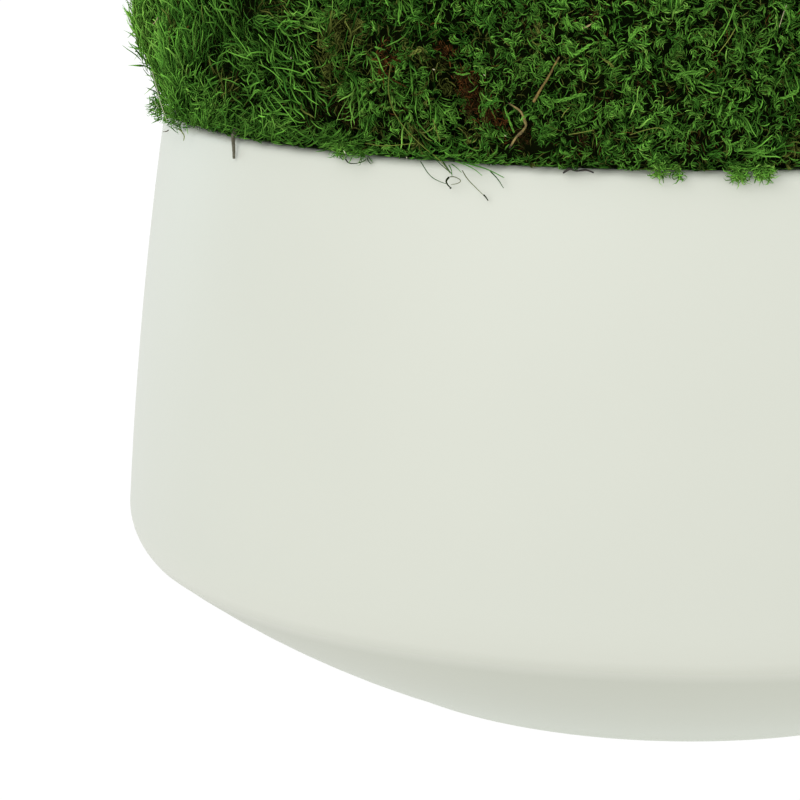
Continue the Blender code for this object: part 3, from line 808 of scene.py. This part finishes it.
class Growth:
    """Gathers leaves and strands until they are made a mesh."""

    def __init__(self):
        self.points, self.faces, self.maps, self.count = [], [], [], 0

    def add(self, points, faces, maps):
        self.points.append(points)
        self.faces.append(faces + self.count)
        self.maps.append(maps)
        self.count += len(points)

    def leaves(self, shape, *leaf, hang=False, only=None):
        """One leaf per root: it heads along, curves by an angle towards bend, and lies with its
        flat to face. Light is how far up the root-to-tip fade it reaches, hang lets it droop
        outside the rim, and only picks some of the leaves given."""
        if only is not None:
            if not only.any():
                return
            leaf = [values[only] for values in leaf]
        root, along, bend, face, length, breadth, turn, tone, light = leaf
        body, faces = shape
        n, k = len(root), len(body)
        light = np.clip(light * reach_of_light(root), 0, 1)
        tone = np.where((tone > 0.24) & (tone < 0.42), np.where(tone < 0.30, 0.24, 0.42), tone)
        along = unit(along)
        bend = unit(bend - along * dot(bend, along)[:, None])
        across = unit(np.cross(along, face))
        face = np.cross(across, along)
        s = body[None, :, 1]
        phi = turn[:, None] * s
        safe = np.where(np.abs(turn) < 1e-3, 1e-3, turn)[:, None]
        run = (np.sin(safe * s) / safe * length[:, None])[..., None]
        rise = ((1 - np.cos(safe * s)) / safe * length[:, None])[..., None]
        a, b = along[:, None, :], bend[:, None, :]
        swing = b * (np.cos(phi) - 1)[..., None] - a * np.sin(phi)[..., None]
        side = across[:, None, :] + swing * dot(across, bend)[:, None, None]
        flat = face[:, None, :] + swing * dot(face, bend)[:, None, None]
        width = breadth[:, None, None]
        p = root[:, None, :] + a * run + b * rise
        p = p + side * (body[None, :, 0, None] * width) + flat * (body[None, :, 2, None] * width)
        u = np.clip(tone, 0.004, 0.996)[:, None] + body[None, :, 0] * 2 * MAP_HALF
        v = 0.004 + 0.99 * s * light[:, None]
        every = faces[None] + (np.arange(n) * k)[:, None, None]
        self.add(off_bowl(p, hang).reshape(-1, 3), every.reshape(-1, 3), np.stack([u, v], axis=2).reshape(-1, 2))

    def strand(self, path, breadth, tone, blade=False, flatness=1.0, light=(0.45, 0.92)):
        """One strand along a smooth path, thinning to its end, or a broad blade."""
        body, faces = STRAND
        path = smooth_path(path, PATH_STEPS)
        s = body[:, 1]
        at = s * (PATH_STEPS - 1)
        low = np.minimum(at.astype(int), PATH_STEPS - 2)
        mix = (at - low)[:, None]
        middle = path[low] * (1 - mix) + path[low + 1] * mix
        tangent = unit(np.gradient(path, axis=0))
        ahead = unit(tangent[low] * (1 - mix) + tangent[low + 1] * mix)
        normal = dome_normal(middle)
        across = unit(np.cross(ahead, normal))
        normal = np.cross(across, ahead)
        shape = 1.55 * s ** 0.5 * (1.02 - s) ** 0.7 if blade else np.clip(1.25 - s, 0, 1) * 0.6 + 0.4
        wide = (breadth * shape)[:, None]
        p = middle + across * body[:, 0, None] * wide + normal * body[:, 2, None] * wide * flatness
        u = tone + body[:, 0] * 2 * MAP_HALF
        v = light[0] + (light[1] - light[0]) * s
        self.add(p, faces, np.stack([u, v], axis=1))

    def mesh(self, name):
        points, faces = np.concatenate(self.points), np.concatenate(self.faces)
        mesh = bpy.data.meshes.new(name)
        mesh.vertices.add(len(points))
        mesh.vertices.foreach_set("co", points.astype(np.float32).ravel())
        mesh.loops.add(faces.size)
        mesh.loops.foreach_set("vertex_index", faces.astype(np.int32).ravel())
        mesh.polygons.add(len(faces))
        mesh.polygons.foreach_set("loop_start", np.arange(0, faces.size, 3, dtype=np.int32))
        mesh.update(calc_edges=True)
        layer = mesh.uv_layers.new(name="OFBake")
        layer.data.foreach_set("uv", np.concatenate(self.maps)[faces.ravel()].astype(np.float32).ravel())
        mesh.validate()
        return mesh


# Ways of growing. Each takes a growth, the directions of its spots with their room to the
# nearest seam, random numbers and the coarseness there

def frames_at(d, room):
    """Root place, outward direction, east and north for each direction. Leaves stand a little
    proud of the leafy surface, and less where a twig lies on them or the moss is worn."""
    p = leafy_points(d, room)
    normal = dome_normal(p)
    east = unit(np.stack([-p[:, 1], p[:, 0], np.zeros(len(p))], axis=1))
    lift = np.full(len(p), LEAF_LIFT)
    for node, path, *_ in TWIGS.values():
        if node:
            line = smooth_path([on_dome(*place) for place in path], 12)
            away = np.min(np.linalg.norm(p[:, None] - line[None], axis=2), axis=1)
            lift -= 2.9 * MM * np.clip(1.6 - away / (2.4 * MM), 0, 1)
    lift -= 1.4 * MM * worn(p)
    return p + normal * np.maximum(lift, -1.2 * MM)[:, None], normal, east, np.cross(normal, east)


def any_way(east, north, rng):
    """Directions along the surface, every way."""
    return turned(east, north, rng.uniform(0, 2 * math.pi, len(east)))


def raised(root):
    """Roots lifted clear of the rim."""
    root[:, 2] = np.maximum(root[:, 2], LOWEST_ROOT)
    return root


def combed_tufts(growth, d, room, rng, size):
    """Tufts of long blades that sweep one way, fan out and bend back to the surface."""
    p, normal, east, north = frames_at(d, room)
    comb = comb_angle(p, rng)
    tones = moss_tones(p, rng, 0.07)
    stand = rng.normal(0, 0.8, len(p)) * MM
    row = np.repeat(np.arange(len(p)), BLADES_IN_TUFT)
    n = len(row)
    p, normal, east, north, comb, tones, stand, size = (
        values[row] for values in (p, normal, east, north, comb, tones, stand, size))
    outline = np.clip((OUTLINE_FROM - spot_of(p)[0]) / 10, 0, 1)
    bold = rng.random(n) < 0.24 + 0.12 * outline
    fan = rng.normal(0, 1, n)
    flow = turned(east, north, comb)
    aside = np.cross(normal, flow)
    deep = np.where(bold, rng.uniform(0.75, 1.0, n), rng.random(n))
    root = p + aside * (fan * 0.75 * MM * size)[:, None] + flow * (rng.normal(-1.4, 1.6, n) * MM * size)[:, None]
    root = root + normal * (stand + (-4.2 + 4.4 * deep) * MM)[:, None]
    lie = turned(flow, aside, fan * 0.24 + rng.normal(0, 0.18, n))
    along = turned(lie, normal, np.clip(rng.normal(0.42, 0.24, n) - 0.2 * deep, -0.1, 1.2))
    azimuth, high = spot_of(root)
    droop = np.abs(azimuth - OUTLINE) < 16
    low = np.clip(1 - high / 7, 0, 1) * np.where(droop, -0.1, 1.0)
    along = along + 0.75 * UP * low[:, None]
    bend = turned(-normal, aside, rng.normal(0, 1.0, n))
    face = turned(normal, aside, rng.normal(0, 0.5, n))
    length = np.where(bold, rng.uniform(5.5, 9.5, n), rng.uniform(3.8, 7.5, n)) * MM * size ** 0.35
    breadth = np.where(bold, rng.uniform(0.50, 0.78, n), rng.uniform(0.30, 0.46, n)) * MM * size ** 1.05
    turn = np.abs(rng.normal(0.9, 0.55, n))
    # The tone shift is painted shade and light: deeper blades darker, most near the left outline, and bold blades on
    # top lighter
    shift = np.where(bold, 0.07, 0.14 * deep - 0.11 - outline * 0.30 * (0.8 - deep))
    tone = tones + np.where(tones < BROWNED, rng.normal(0, 0.02, n), rng.normal(0, 0.045, n) + shift)
    tone = np.clip(tone, 0.01, 0.99)
    light = 0.06 + 0.94 * deep ** 1.15 * rng.uniform(0.75, 1.0, n)
    root, left, near = raised(root), rng.random(n) < 0.5, fine(size)
    for shape, these in ((WAVES[0], near & bold & left), (WAVES[1], near & bold & ~left),
                         (BLADE, near & ~bold), (DART, ~near)):
        for hang in (False, True):
            growth.leaves(shape, root, along, bend, face, length, breadth, turn, tone, light,
                          hang=hang, only=these & (droop == hang))


def curly_plumes(growth, d, room, rng, size):
    """Short curling stems plaited with small leaves that all hook to one side."""
    p, normal, east, north = frames_at(d, room)
    count = len(p)
    tones = moss_tones(p, rng, 0.065)
    flow = any_way(east, north, rng)
    deep = rng.random(count) ** 0.8
    start = p + normal * ((-4.4 + 4.6 * deep) * MM)[:, None]
    ahead = turned(flow, normal, np.clip(rng.normal(0.30, 0.28, count), -0.15, 1.2))
    roll = rng.normal(0, 1.1, count)
    hand = np.where(rng.random(count) < 0.5, 1.0, -1.0)[:, None]
    bend = turned(np.cross(normal, flow) * hand, -normal, roll)
    bend = unit(bend - ahead * dot(bend, ahead)[:, None])
    reach = rng.uniform(2.8, 6.6, count) * MM * size ** 0.5
    curl = rng.uniform(0.5, 2.8, count)
    loose = rng.uniform(0.15, 1.0, count)
    row = np.repeat(np.arange(count), LEAVES_IN_PLUME)
    n = len(row)
    s = np.tile((np.arange(LEAVES_IN_PLUME) + 0.3) / LEAVES_IN_PLUME, count) + rng.normal(0, 0.03, n)
    start, normal, ahead, bend, reach, curl, loose, tones, deep, size = (
        values[row] for values in (start, normal, ahead, bend, reach, curl, loose, tones, deep, size))
    phi = curl * s
    root = start + ahead * (np.sin(phi) / curl * reach)[:, None]
    root = raised(root + bend * ((1 - np.cos(phi)) / curl * reach)[:, None])
    tangent, inward = turned(ahead, bend, phi), turned(bend, -ahead, phi)
    open_out = by_turns(n) * (loose * rng.uniform(0.5, 1.1, n) * (1.1 - 0.5 * s))
    along = tangent + inward * open_out[:, None] + normal * rng.normal(0.12, 0.28, n)[:, None]
    hook = inward + normal * rng.normal(-0.1, 0.5, n)[:, None]
    face = normal + tangent * rng.normal(0, 0.3, n)[:, None] + inward * rng.normal(0, 0.5, n)[:, None]
    length = rng.uniform(1.8, 3.5, n) * (1.15 - 0.25 * s) * MM * size ** 1.05
    breadth = rng.uniform(0.31, 0.51, n) * MM * size ** 1.4
    turn = rng.uniform(0.9, 2.6, n)
    tone = np.clip(tones + 0.06 * (s - 0.4) + rng.normal(0, 0.045, n), 0.01, 0.99)
    light = np.clip((0.34 + 0.66 * deep) * rng.uniform(0.75, 1.0, n), 0, 1)
    for shape, these in ((HOOK, fine(size)), (DART, ~fine(size))):
        growth.leaves(shape, root, along, hook, face, length, breadth, turn, tone, light, only=these)


def loose_curls(growth, d, room, rng, size):
    """Single hooked leaves, broader and lighter, on top of the plumes."""
    p, normal, east, north = frames_at(d, room)
    n = len(p)
    flow = any_way(east, north, rng)
    aside = np.cross(normal, flow)
    root = raised(p + normal * (rng.uniform(-1.8, 0.5, n) * MM)[:, None])
    along = flow + normal * rng.normal(0.3, 0.25, n)[:, None]
    bend = aside * (rng.choice((-1.0, 1.0), n) * rng.uniform(0.5, 1.0, n))[:, None]
    bend = bend - normal * rng.uniform(0, 0.9, n)[:, None]
    tone = moss_tones(p, rng, shift=0.02)
    growth.leaves(ARC, root, along, bend, normal + aside * rng.normal(0, 0.4, n)[:, None],
                  rng.uniform(2.4, 5.0, n) * MM * size ** 0.5, rng.uniform(0.32, 0.54, n) * MM * size,
                  rng.uniform(1.0, 3.2, n), tone, rng.uniform(0.7, 1.0, n))


def fine_fuzz(growth, d, room, rng, size):
    """Thin dull hairs that run every way between the plumes."""
    p, normal, east, north = frames_at(d, room)
    n = len(p)
    flow = any_way(east, north, rng)
    deep = rng.random(n)
    root = raised(p + normal * ((-4.0 + 3.6 * deep) * MM)[:, None])
    along = flow + normal * rng.normal(0.15, 0.25, n)[:, None]
    bend = np.cross(normal, flow) * rng.choice((-1.0, 1.0), n)[:, None] - normal * rng.uniform(0, 0.8, n)[:, None]
    near, azimuth = fine(size), spot_of(p)[0]
    olive = np.where(near, np.select([azimuth < 226, azimuth < 243], [0.14, 0.56], 0.34), 0.15)
    base = np.where(rng.random(n) < olive, rng.uniform(0.42, 0.54, n), rng.uniform(0.64, 0.82, n))
    base = np.where(near & (rng.random(n) < 0.07), rng.uniform(0.07, 0.19, n), base)
    tone = patch_tones(p, base, rng)
    length, turn = rng.uniform(2.6, 5.5, n) * MM * size ** 0.5, rng.uniform(0.4, 2.6, n)
    breadth = np.where(deep < 0.75, rng.uniform(0.32, 0.48, n), rng.uniform(0.20, 0.30, n)) * MM * size ** 1.3
    hooked = (deep >= 0.75) & near
    for shape, these in ((DART, ~hooked), (HOOK, hooked)):
        growth.leaves(shape, root, along, bend, normal, length, breadth, turn, tone, 0.46 + 0.44 * deep, only=these)


def kept(style, d):
    """Share of the spots in unit directions that a way of growing keeps."""
    p = dome(d, LEAFY_TOP)
    combed, size = COMBED[clump_of(d)[0]], coarseness(p)
    if style is fine_fuzz:
        sparse = 0.6 * combed * (1 - np.exp(-((spot_of(p)[0] - 188) / 12) ** 2))
        return (1 - sparse) * np.where(fine(size), 0.62, 0.34 * size ** -2)
    share, shade, spread = {combed_tufts: (combed, 1.3, size ** -1.3), curly_plumes: (1 - combed, 1, size ** -2.3),
                            loose_curls: (1 - 0.75 * combed, 1, fine(size))}[style]
    full = np.clip(0.84 + fullness(p), 0.44, 1.0)
    return share * full * np.minimum(reach_of_light(p), 1) ** shade * spread * (1 - 0.9 * worn(p))


def spots(style, count, rng):
    """Even, jittered directions over the dome, thinned to the share that is kept."""
    low = math.cos(RIM_ANGLE)
    i = np.arange(count) + 0.5
    z = 1 - (1 - low) * i / count
    a = i * math.pi * (3 - math.sqrt(5))
    level = np.sqrt(1 - z * z)
    d = np.stack([level * np.cos(a), level * np.sin(a), z], axis=1)
    d = unit(d + rng.normal(0, 0.7 / math.sqrt(count), d.shape))
    d = d[d[:, 2] > low + 0.002]
    p = dome(d, LEAFY_TOP)
    area = np.linalg.norm(p - CENTRE, axis=1) ** 2 / dot(d, dome_normal(p))
    return d[rng.random(len(d)) < kept(style, d) * area / area.max()]


def browned_patch(growth, azimuth, height, size, tone, rng):
    """Short reddish hairs, close together, where the moss has browned."""
    n = int(13 * size * size)
    place = np.array([on_dome(azimuth + x / MM_PER_DEGREE, height + y, 0.0)
                      for x, y in rng.normal(0, 0.45 * size, (n, 2))])
    d = unit(place - CENTRE)
    p, normal, east, north = frames_at(d, clump_of(d)[1])
    flow = any_way(east, north, rng)
    root = p + normal * (rng.uniform(-1.8, 1.25, n) * MM)[:, None]
    along = flow + normal * rng.normal(0.35, 0.3, n)[:, None]
    bend = np.cross(normal, flow) * rng.normal(0, 1, n)[:, None] - normal * rng.uniform(0, 0.8, n)[:, None]
    growth.leaves(HOOK, root, along, bend, normal, rng.uniform(1.2, 2.8, n) * MM, rng.uniform(0.20, 0.32, n) * MM,
                  rng.uniform(0.4, 2.2, n), tone + rng.uniform(-0.05, 0.04, n), rng.uniform(0.35, 1.0, n))


def leafy_shoot(growth, path, width, tone, rng):
    """Plaited shoot: small leaves close along both sides of its path."""
    count = LEAVES_IN_SHOOT
    s = (np.arange(count) + 0.5) / count
    line = smooth_path(path, PATH_STEPS)
    step = (s * (PATH_STEPS - 1)).astype(int)
    root, ahead = line[step], unit(np.gradient(line, axis=0))[step]
    normal = dome_normal(root)
    aside = unit(np.cross(normal, ahead)) * by_turns(count)[:, None]
    full = np.sin(math.pi * (0.12 + 0.76 * s)) ** 0.7
    along = ahead + aside * rng.uniform(0.3, 0.65, count)[:, None] + normal * rng.normal(0.08, 0.15, count)[:, None]
    growth.leaves(HOOK, root - normal * 0.2 * MM, along, ahead - aside * 0.6, normal + aside * 0.4,
                  width * 1.35 * full, width * rng.uniform(0.26, 0.36, count), rng.uniform(0.4, 1.3, count),
                  np.clip(tone + rng.normal(-0.01, 0.02, count), 0.01, 0.99), rng.uniform(0.7, 1.0, count))


def rim_fringe(growths, start, end, count, long, tone, rng):
    """Leaves that lie along the rim and cover its edge."""
    out, east = way_round(np.radians(rng.uniform(start, end, count)))
    root = out * (RIM_RADIUS + rng.uniform(0.0, 2.2, count) * MM)[:, None]
    root = root + UP * (BOWL_HEIGHT + rng.uniform(0.6, 1.0 + 0.6 * long, count) * MM)[:, None]
    along = east * rng.choice((-1.0, 1.0, 1.0), count)[:, None] + UP * rng.normal(0.08, 0.15, count)[:, None]
    along = along + out * rng.normal(0.10, 0.14, count)[:, None]
    bend = UP * np.abs(rng.normal(0.45, 0.7, count))[:, None] + out * rng.normal(-0.2, 0.5, count)[:, None]
    length = long * rng.uniform(0.5, 1.25, count) * MM
    breadth = rng.uniform(0.30, 0.42 + 0.03 * long, count) * MM
    turn = np.abs(rng.normal(0.8, 0.45, count))
    tones = np.clip(tone + rng.normal(0, 0.055, count), 0.62, 0.985)
    light = rng.uniform(0.5, 1.0, count)
    near, _ = clump_of(unit(root - CENTRE))
    for number, growth in enumerate(growths):
        growth.leaves(ARC, root, along, bend, out, length, breadth, turn, tones, light,
                      hang=True, only=near == number)


def rim_tuft(growth, azimuth, height, width, count, tone, rng):
    """Loose curls that spill over the rim and hang in front of it."""
    out, east = way_round(np.radians(azimuth) + rng.normal(0, 0.25 * width * MM / RIM_RADIUS, count))
    reach = rng.random(count)
    root = out * (LEAFY_TOP[0] - 3.4 * MM + rng.uniform(0, 4.0, count) * MM)[:, None]
    root = root + UP * (BOWL_HEIGHT + (height - 1.6 + rng.uniform(-0.4, 3.2, count)) * MM)[:, None]
    along = out * rng.normal(0.35, 0.3, count)[:, None] + east * rng.normal(0, 0.75, count)[:, None]
    along = along - UP * rng.uniform(-0.2, 1.1, count)[:, None]
    bend = east * rng.normal(0, 1, count)[:, None] + out * rng.normal(0, 0.5, count)[:, None]
    growth.leaves(HOOK, root, along, bend, out + east * rng.normal(0, 0.4, count)[:, None],
                  rng.uniform(2.0, 4.2, count) * MM, rng.uniform(0.28, 0.46, count) * MM,
                  rng.uniform(1.2, 3.4, count), np.clip(tone + rng.normal(0, 0.06, count), 0.6, 0.99),
                  0.36 + 0.64 * reach, hang=True)


def caught_in_moss(growths, rng):
    """Tufts, patches, fringes, strands and crumbs, each in the clump that it lies on."""
    def growth_at(azimuth, height, *_):
        d = unit(np.array([on_dome(azimuth, max(height, 1.0), 0.0)]) - CENTRE)
        return growths[int(clump_of(d)[0][0])]

    for tuft in TUFTS:
        rim_tuft(growth_at(*tuft), *tuft, rng)
    for patch in PATCHES:
        if patch[-1] < BROWNED:
            browned_patch(growth_at(*patch), *patch, rng)
    for fringe in FRINGES:
        rim_fringe(growths, *fringe, rng)
    for table in (STRANDS, HANGING):
        for kind, tone, breadth, *numbers in table:
            places = list(zip(numbers[::3], numbers[1::3], numbers[2::3]))
            growth, breadth, blade = growth_at(*places[1]), breadth * MM, kind == "blade"
            if table is HANGING:
                path = [(r * MM * math.cos(math.radians(a)), r * MM * math.sin(math.radians(a)), BOWL_HEIGHT + h * MM)
                        for a, h, r in places]
                growth.strand(path, breadth, tone, blade)
                continue
            path = [on_dome(*place) for place in places]
            if kind == "shoot":
                leafy_shoot(growth, path, breadth, tone, rng)
            else:
                growth.strand(path, breadth, tone, blade, 0.35 if blade else 1.0)
    for azimuth, height, size, tone in CRUMBS:
        turn = rng.uniform(0, math.pi)
        ends = [on_dome(azimuth + side * math.cos(turn) * size / (2 * MM_PER_DEGREE),
                        height + side * math.sin(turn) * size / 2, 4.2) for side in (-1, 0, 1)]
        growth_at(azimuth, height).strand(ends, size * 0.7 * MM, tone, True, 0.6, (0.7, 0.95))


# Core of a clump

def tidy_cuts(bm, cuts):
    """Weld points closer than half a face's side, and keep the ones on the cuts in place."""
    def held(v):
        return {i for i, (n, place) in enumerate(cuts) if abs((v.co - place).dot(n)) < 0.0001}

    short = True
    while short:
        short = False
        for e in bm.edges:
            if e.calc_length() < WELD:
                first, second = sorted(e.verts, key=lambda v: len(held(v)))
                if held(first) <= held(second):
                    bmesh.ops.pointmerge(bm, verts=[first, second], merge_co=second.co.copy())
                    short = True
                    break


def clump_core(number):
    """Closed cushion under the leaves, coloured near black as painted shade between them, cut from a ball's skin as
    the solid is.
    """
    middle = Vector(MIDDLES[number])
    others = [Vector(m) for i, m in enumerate(MIDDLES) if i != number]
    walls = [(middle - o).normalized() for o in others if o.angle(middle) < 1.6]
    bm = bmesh.new()
    bmesh.ops.create_icosphere(bm, subdivisions=4, radius=1.0)
    cuts = [(n, n * SEAM) for n in walls] + [(Vector((0, 0, 1)), Vector((0, 0, math.cos(RIM_ANGLE))))]
    for normal, place in cuts:
        geom = bm.verts[:] + bm.edges[:] + bm.faces[:]
        bmesh.ops.bisect_plane(bm, geom=geom, plane_co=place, plane_no=normal, clear_inner=True)
    bmesh.ops.triangulate(bm, faces=bm.faces)
    tidy_cuts(bm, cuts)
    inner = bm.verts[:]
    grown = bmesh.ops.extrude_face_region(bm, geom=bm.faces[:], use_keep_orig=True)["geom"]
    for v in inner:
        v.co *= 0.5
    top = [f for f in grown if isinstance(f, bmesh.types.BMFace)]
    bmesh.ops.subdivide_edges(bm, edges=list({e for f in top for e in f.edges}), cuts=1, use_grid_fill=True)
    bmesh.ops.triangulate(bm, faces=[f for f in bm.faces if len(f.verts) > 3])
    bmesh.ops.recalc_face_normals(bm, faces=bm.faces)
    raw, faces = tables_from(bm)
    upper = np.linalg.norm(raw, axis=1) > 0.75
    d = unit(raw)
    _, room = clump_of(d)
    sink = CORE_SINK * (1 - 0.6 * np.exp(-((spot_of(dome(d, LEAFY_TOP))[0] - 186) / 12) ** 2))
    points = np.where(upper[:, None], leafy_points(d, np.maximum(room, 0)) - d * sink[:, None], dome(d, UNDERSIDE))
    points[d[:, 2] < math.cos(RIM_ANGLE) + 0.004, 2] = MOSS_FOOT
    # The core's near-black tone and low fade are painted shade between the leaves, darkest on its front (-Y) side
    u = np.clip(0.03 + 0.024 * low_noise(d, 40.0, 3), 0.004, 0.056)
    v = 0.05 + 0.9 * (d[:, 1] + 1) / 2 * 0.3
    return points, faces, np.stack([u, v], axis=1)


def make_moss():
    """A piece for each clump: its core and all the leaves rooted in it."""
    rng = np.random.default_rng(SEED)
    growths = [Growth() for _ in CLUMPS]
    for number, growth in enumerate(growths):
        growth.add(*clump_core(number))
    for style, count in ((combed_tufts, TUFT_SPOTS), (curly_plumes, PLUME_SPOTS),
                         (loose_curls, CURL_SPOTS), (fine_fuzz, FUZZ_SPOTS)):
        d = spots(style, count, rng)
        near, room = clump_of(d)
        size = coarseness(dome(d, LEAFY_TOP))
        for number, growth in enumerate(growths):
            mine = near == number
            if mine.any():
                style(growth, d[mine], room[mine], rng, size[mine])
    caught_in_moss(growths, rng)
    for node, growth in zip(CLUMPS, growths):
        name = node + "_leaves"
        piece(name, growth.mesh(name), moss_material(name), [node])


# Stage

def make_stage():
    """Pale floor and soft white studio light."""
    bm = bmesh.new()
    bmesh.ops.create_grid(bm, x_segments=1, y_segments=1, size=6.0)
    mesh = mesh_from(bm, "floor")
    look = Look("pale_floor", (0.06, 0.06, 0.06), 0.9)
    away = look.node("VectorMath")
    away.operation = "LENGTH"
    look.links.new(look.node("TexCoord").outputs["Object"], away.inputs[0])
    # The floor glows a little less within 0.35 m of the bowl, a faint painted shadow, and fully from 0.95 m out
    glow_with_painted_shadow = look.ramp(away.outputs["Value"], ((0.35, (0.97,) * 3), (0.95, (1.0,) * 3)))
    look.links.new(glow_with_painted_shadow, look.inputs["Emission Color"])
    look.inputs["Emission Strength"].default_value = 1.0
    look.inputs["Specular IOR Level"].default_value = 0.0
    mesh.materials.append(look.mat)
    floor = placed("floor", mesh)
    floor.location.z = -FLOOR_DROP

    world = bpy.data.worlds.new("white_studio")
    world.use_nodes = True
    sky = world.node_tree.nodes["Background"].inputs
    sky["Color"].default_value = SKY
    sky["Strength"].default_value = SKY_STRENGTH
    bpy.context.scene.world = world
    for name, (place, size, power, colour) in LAMPS.items():
        light = bpy.data.lights.new(name, "AREA")
        light.size, light.energy, light.color = size, power, colour
        lamp = placed(name, light)
        lamp.location = place
        lamp.rotation_mode = "QUATERNION"
        lamp.rotation_quaternion = (Vector(place) - LAMPS_AIM).to_track_quat("Z", "Y")
    bpy.context.scene.view_settings.view_transform = "Standard"


def make_camera():
    """Camera at the photograph's place, height and lens."""
    data = bpy.data.cameras.new("camera")
    data.lens = LENS
    data.sensor_width = 36.0
    cam = placed("camera", data)
    ahead = Vector((-math.sin(CAMERA_LEFT) * math.cos(CAMERA_DOWN),
                    math.cos(CAMERA_LEFT) * math.cos(CAMERA_DOWN), -math.sin(CAMERA_DOWN)))
    cam.location = CAMERA_PLACE
    cam.rotation_mode = "QUATERNION"
    cam.rotation_quaternion = ahead.to_track_quat("-Z", "Y")
    bpy.context.scene.camera = cam


make_camera()
make_stage()
make_bowl()
for name, twig in TWIGS.items():
    make_twig(name, *twig)
make_moss()
for obj in bpy.data.objects:
    if obj.name == "foam_form":
        obj.material_slots[0].material = foam_material()
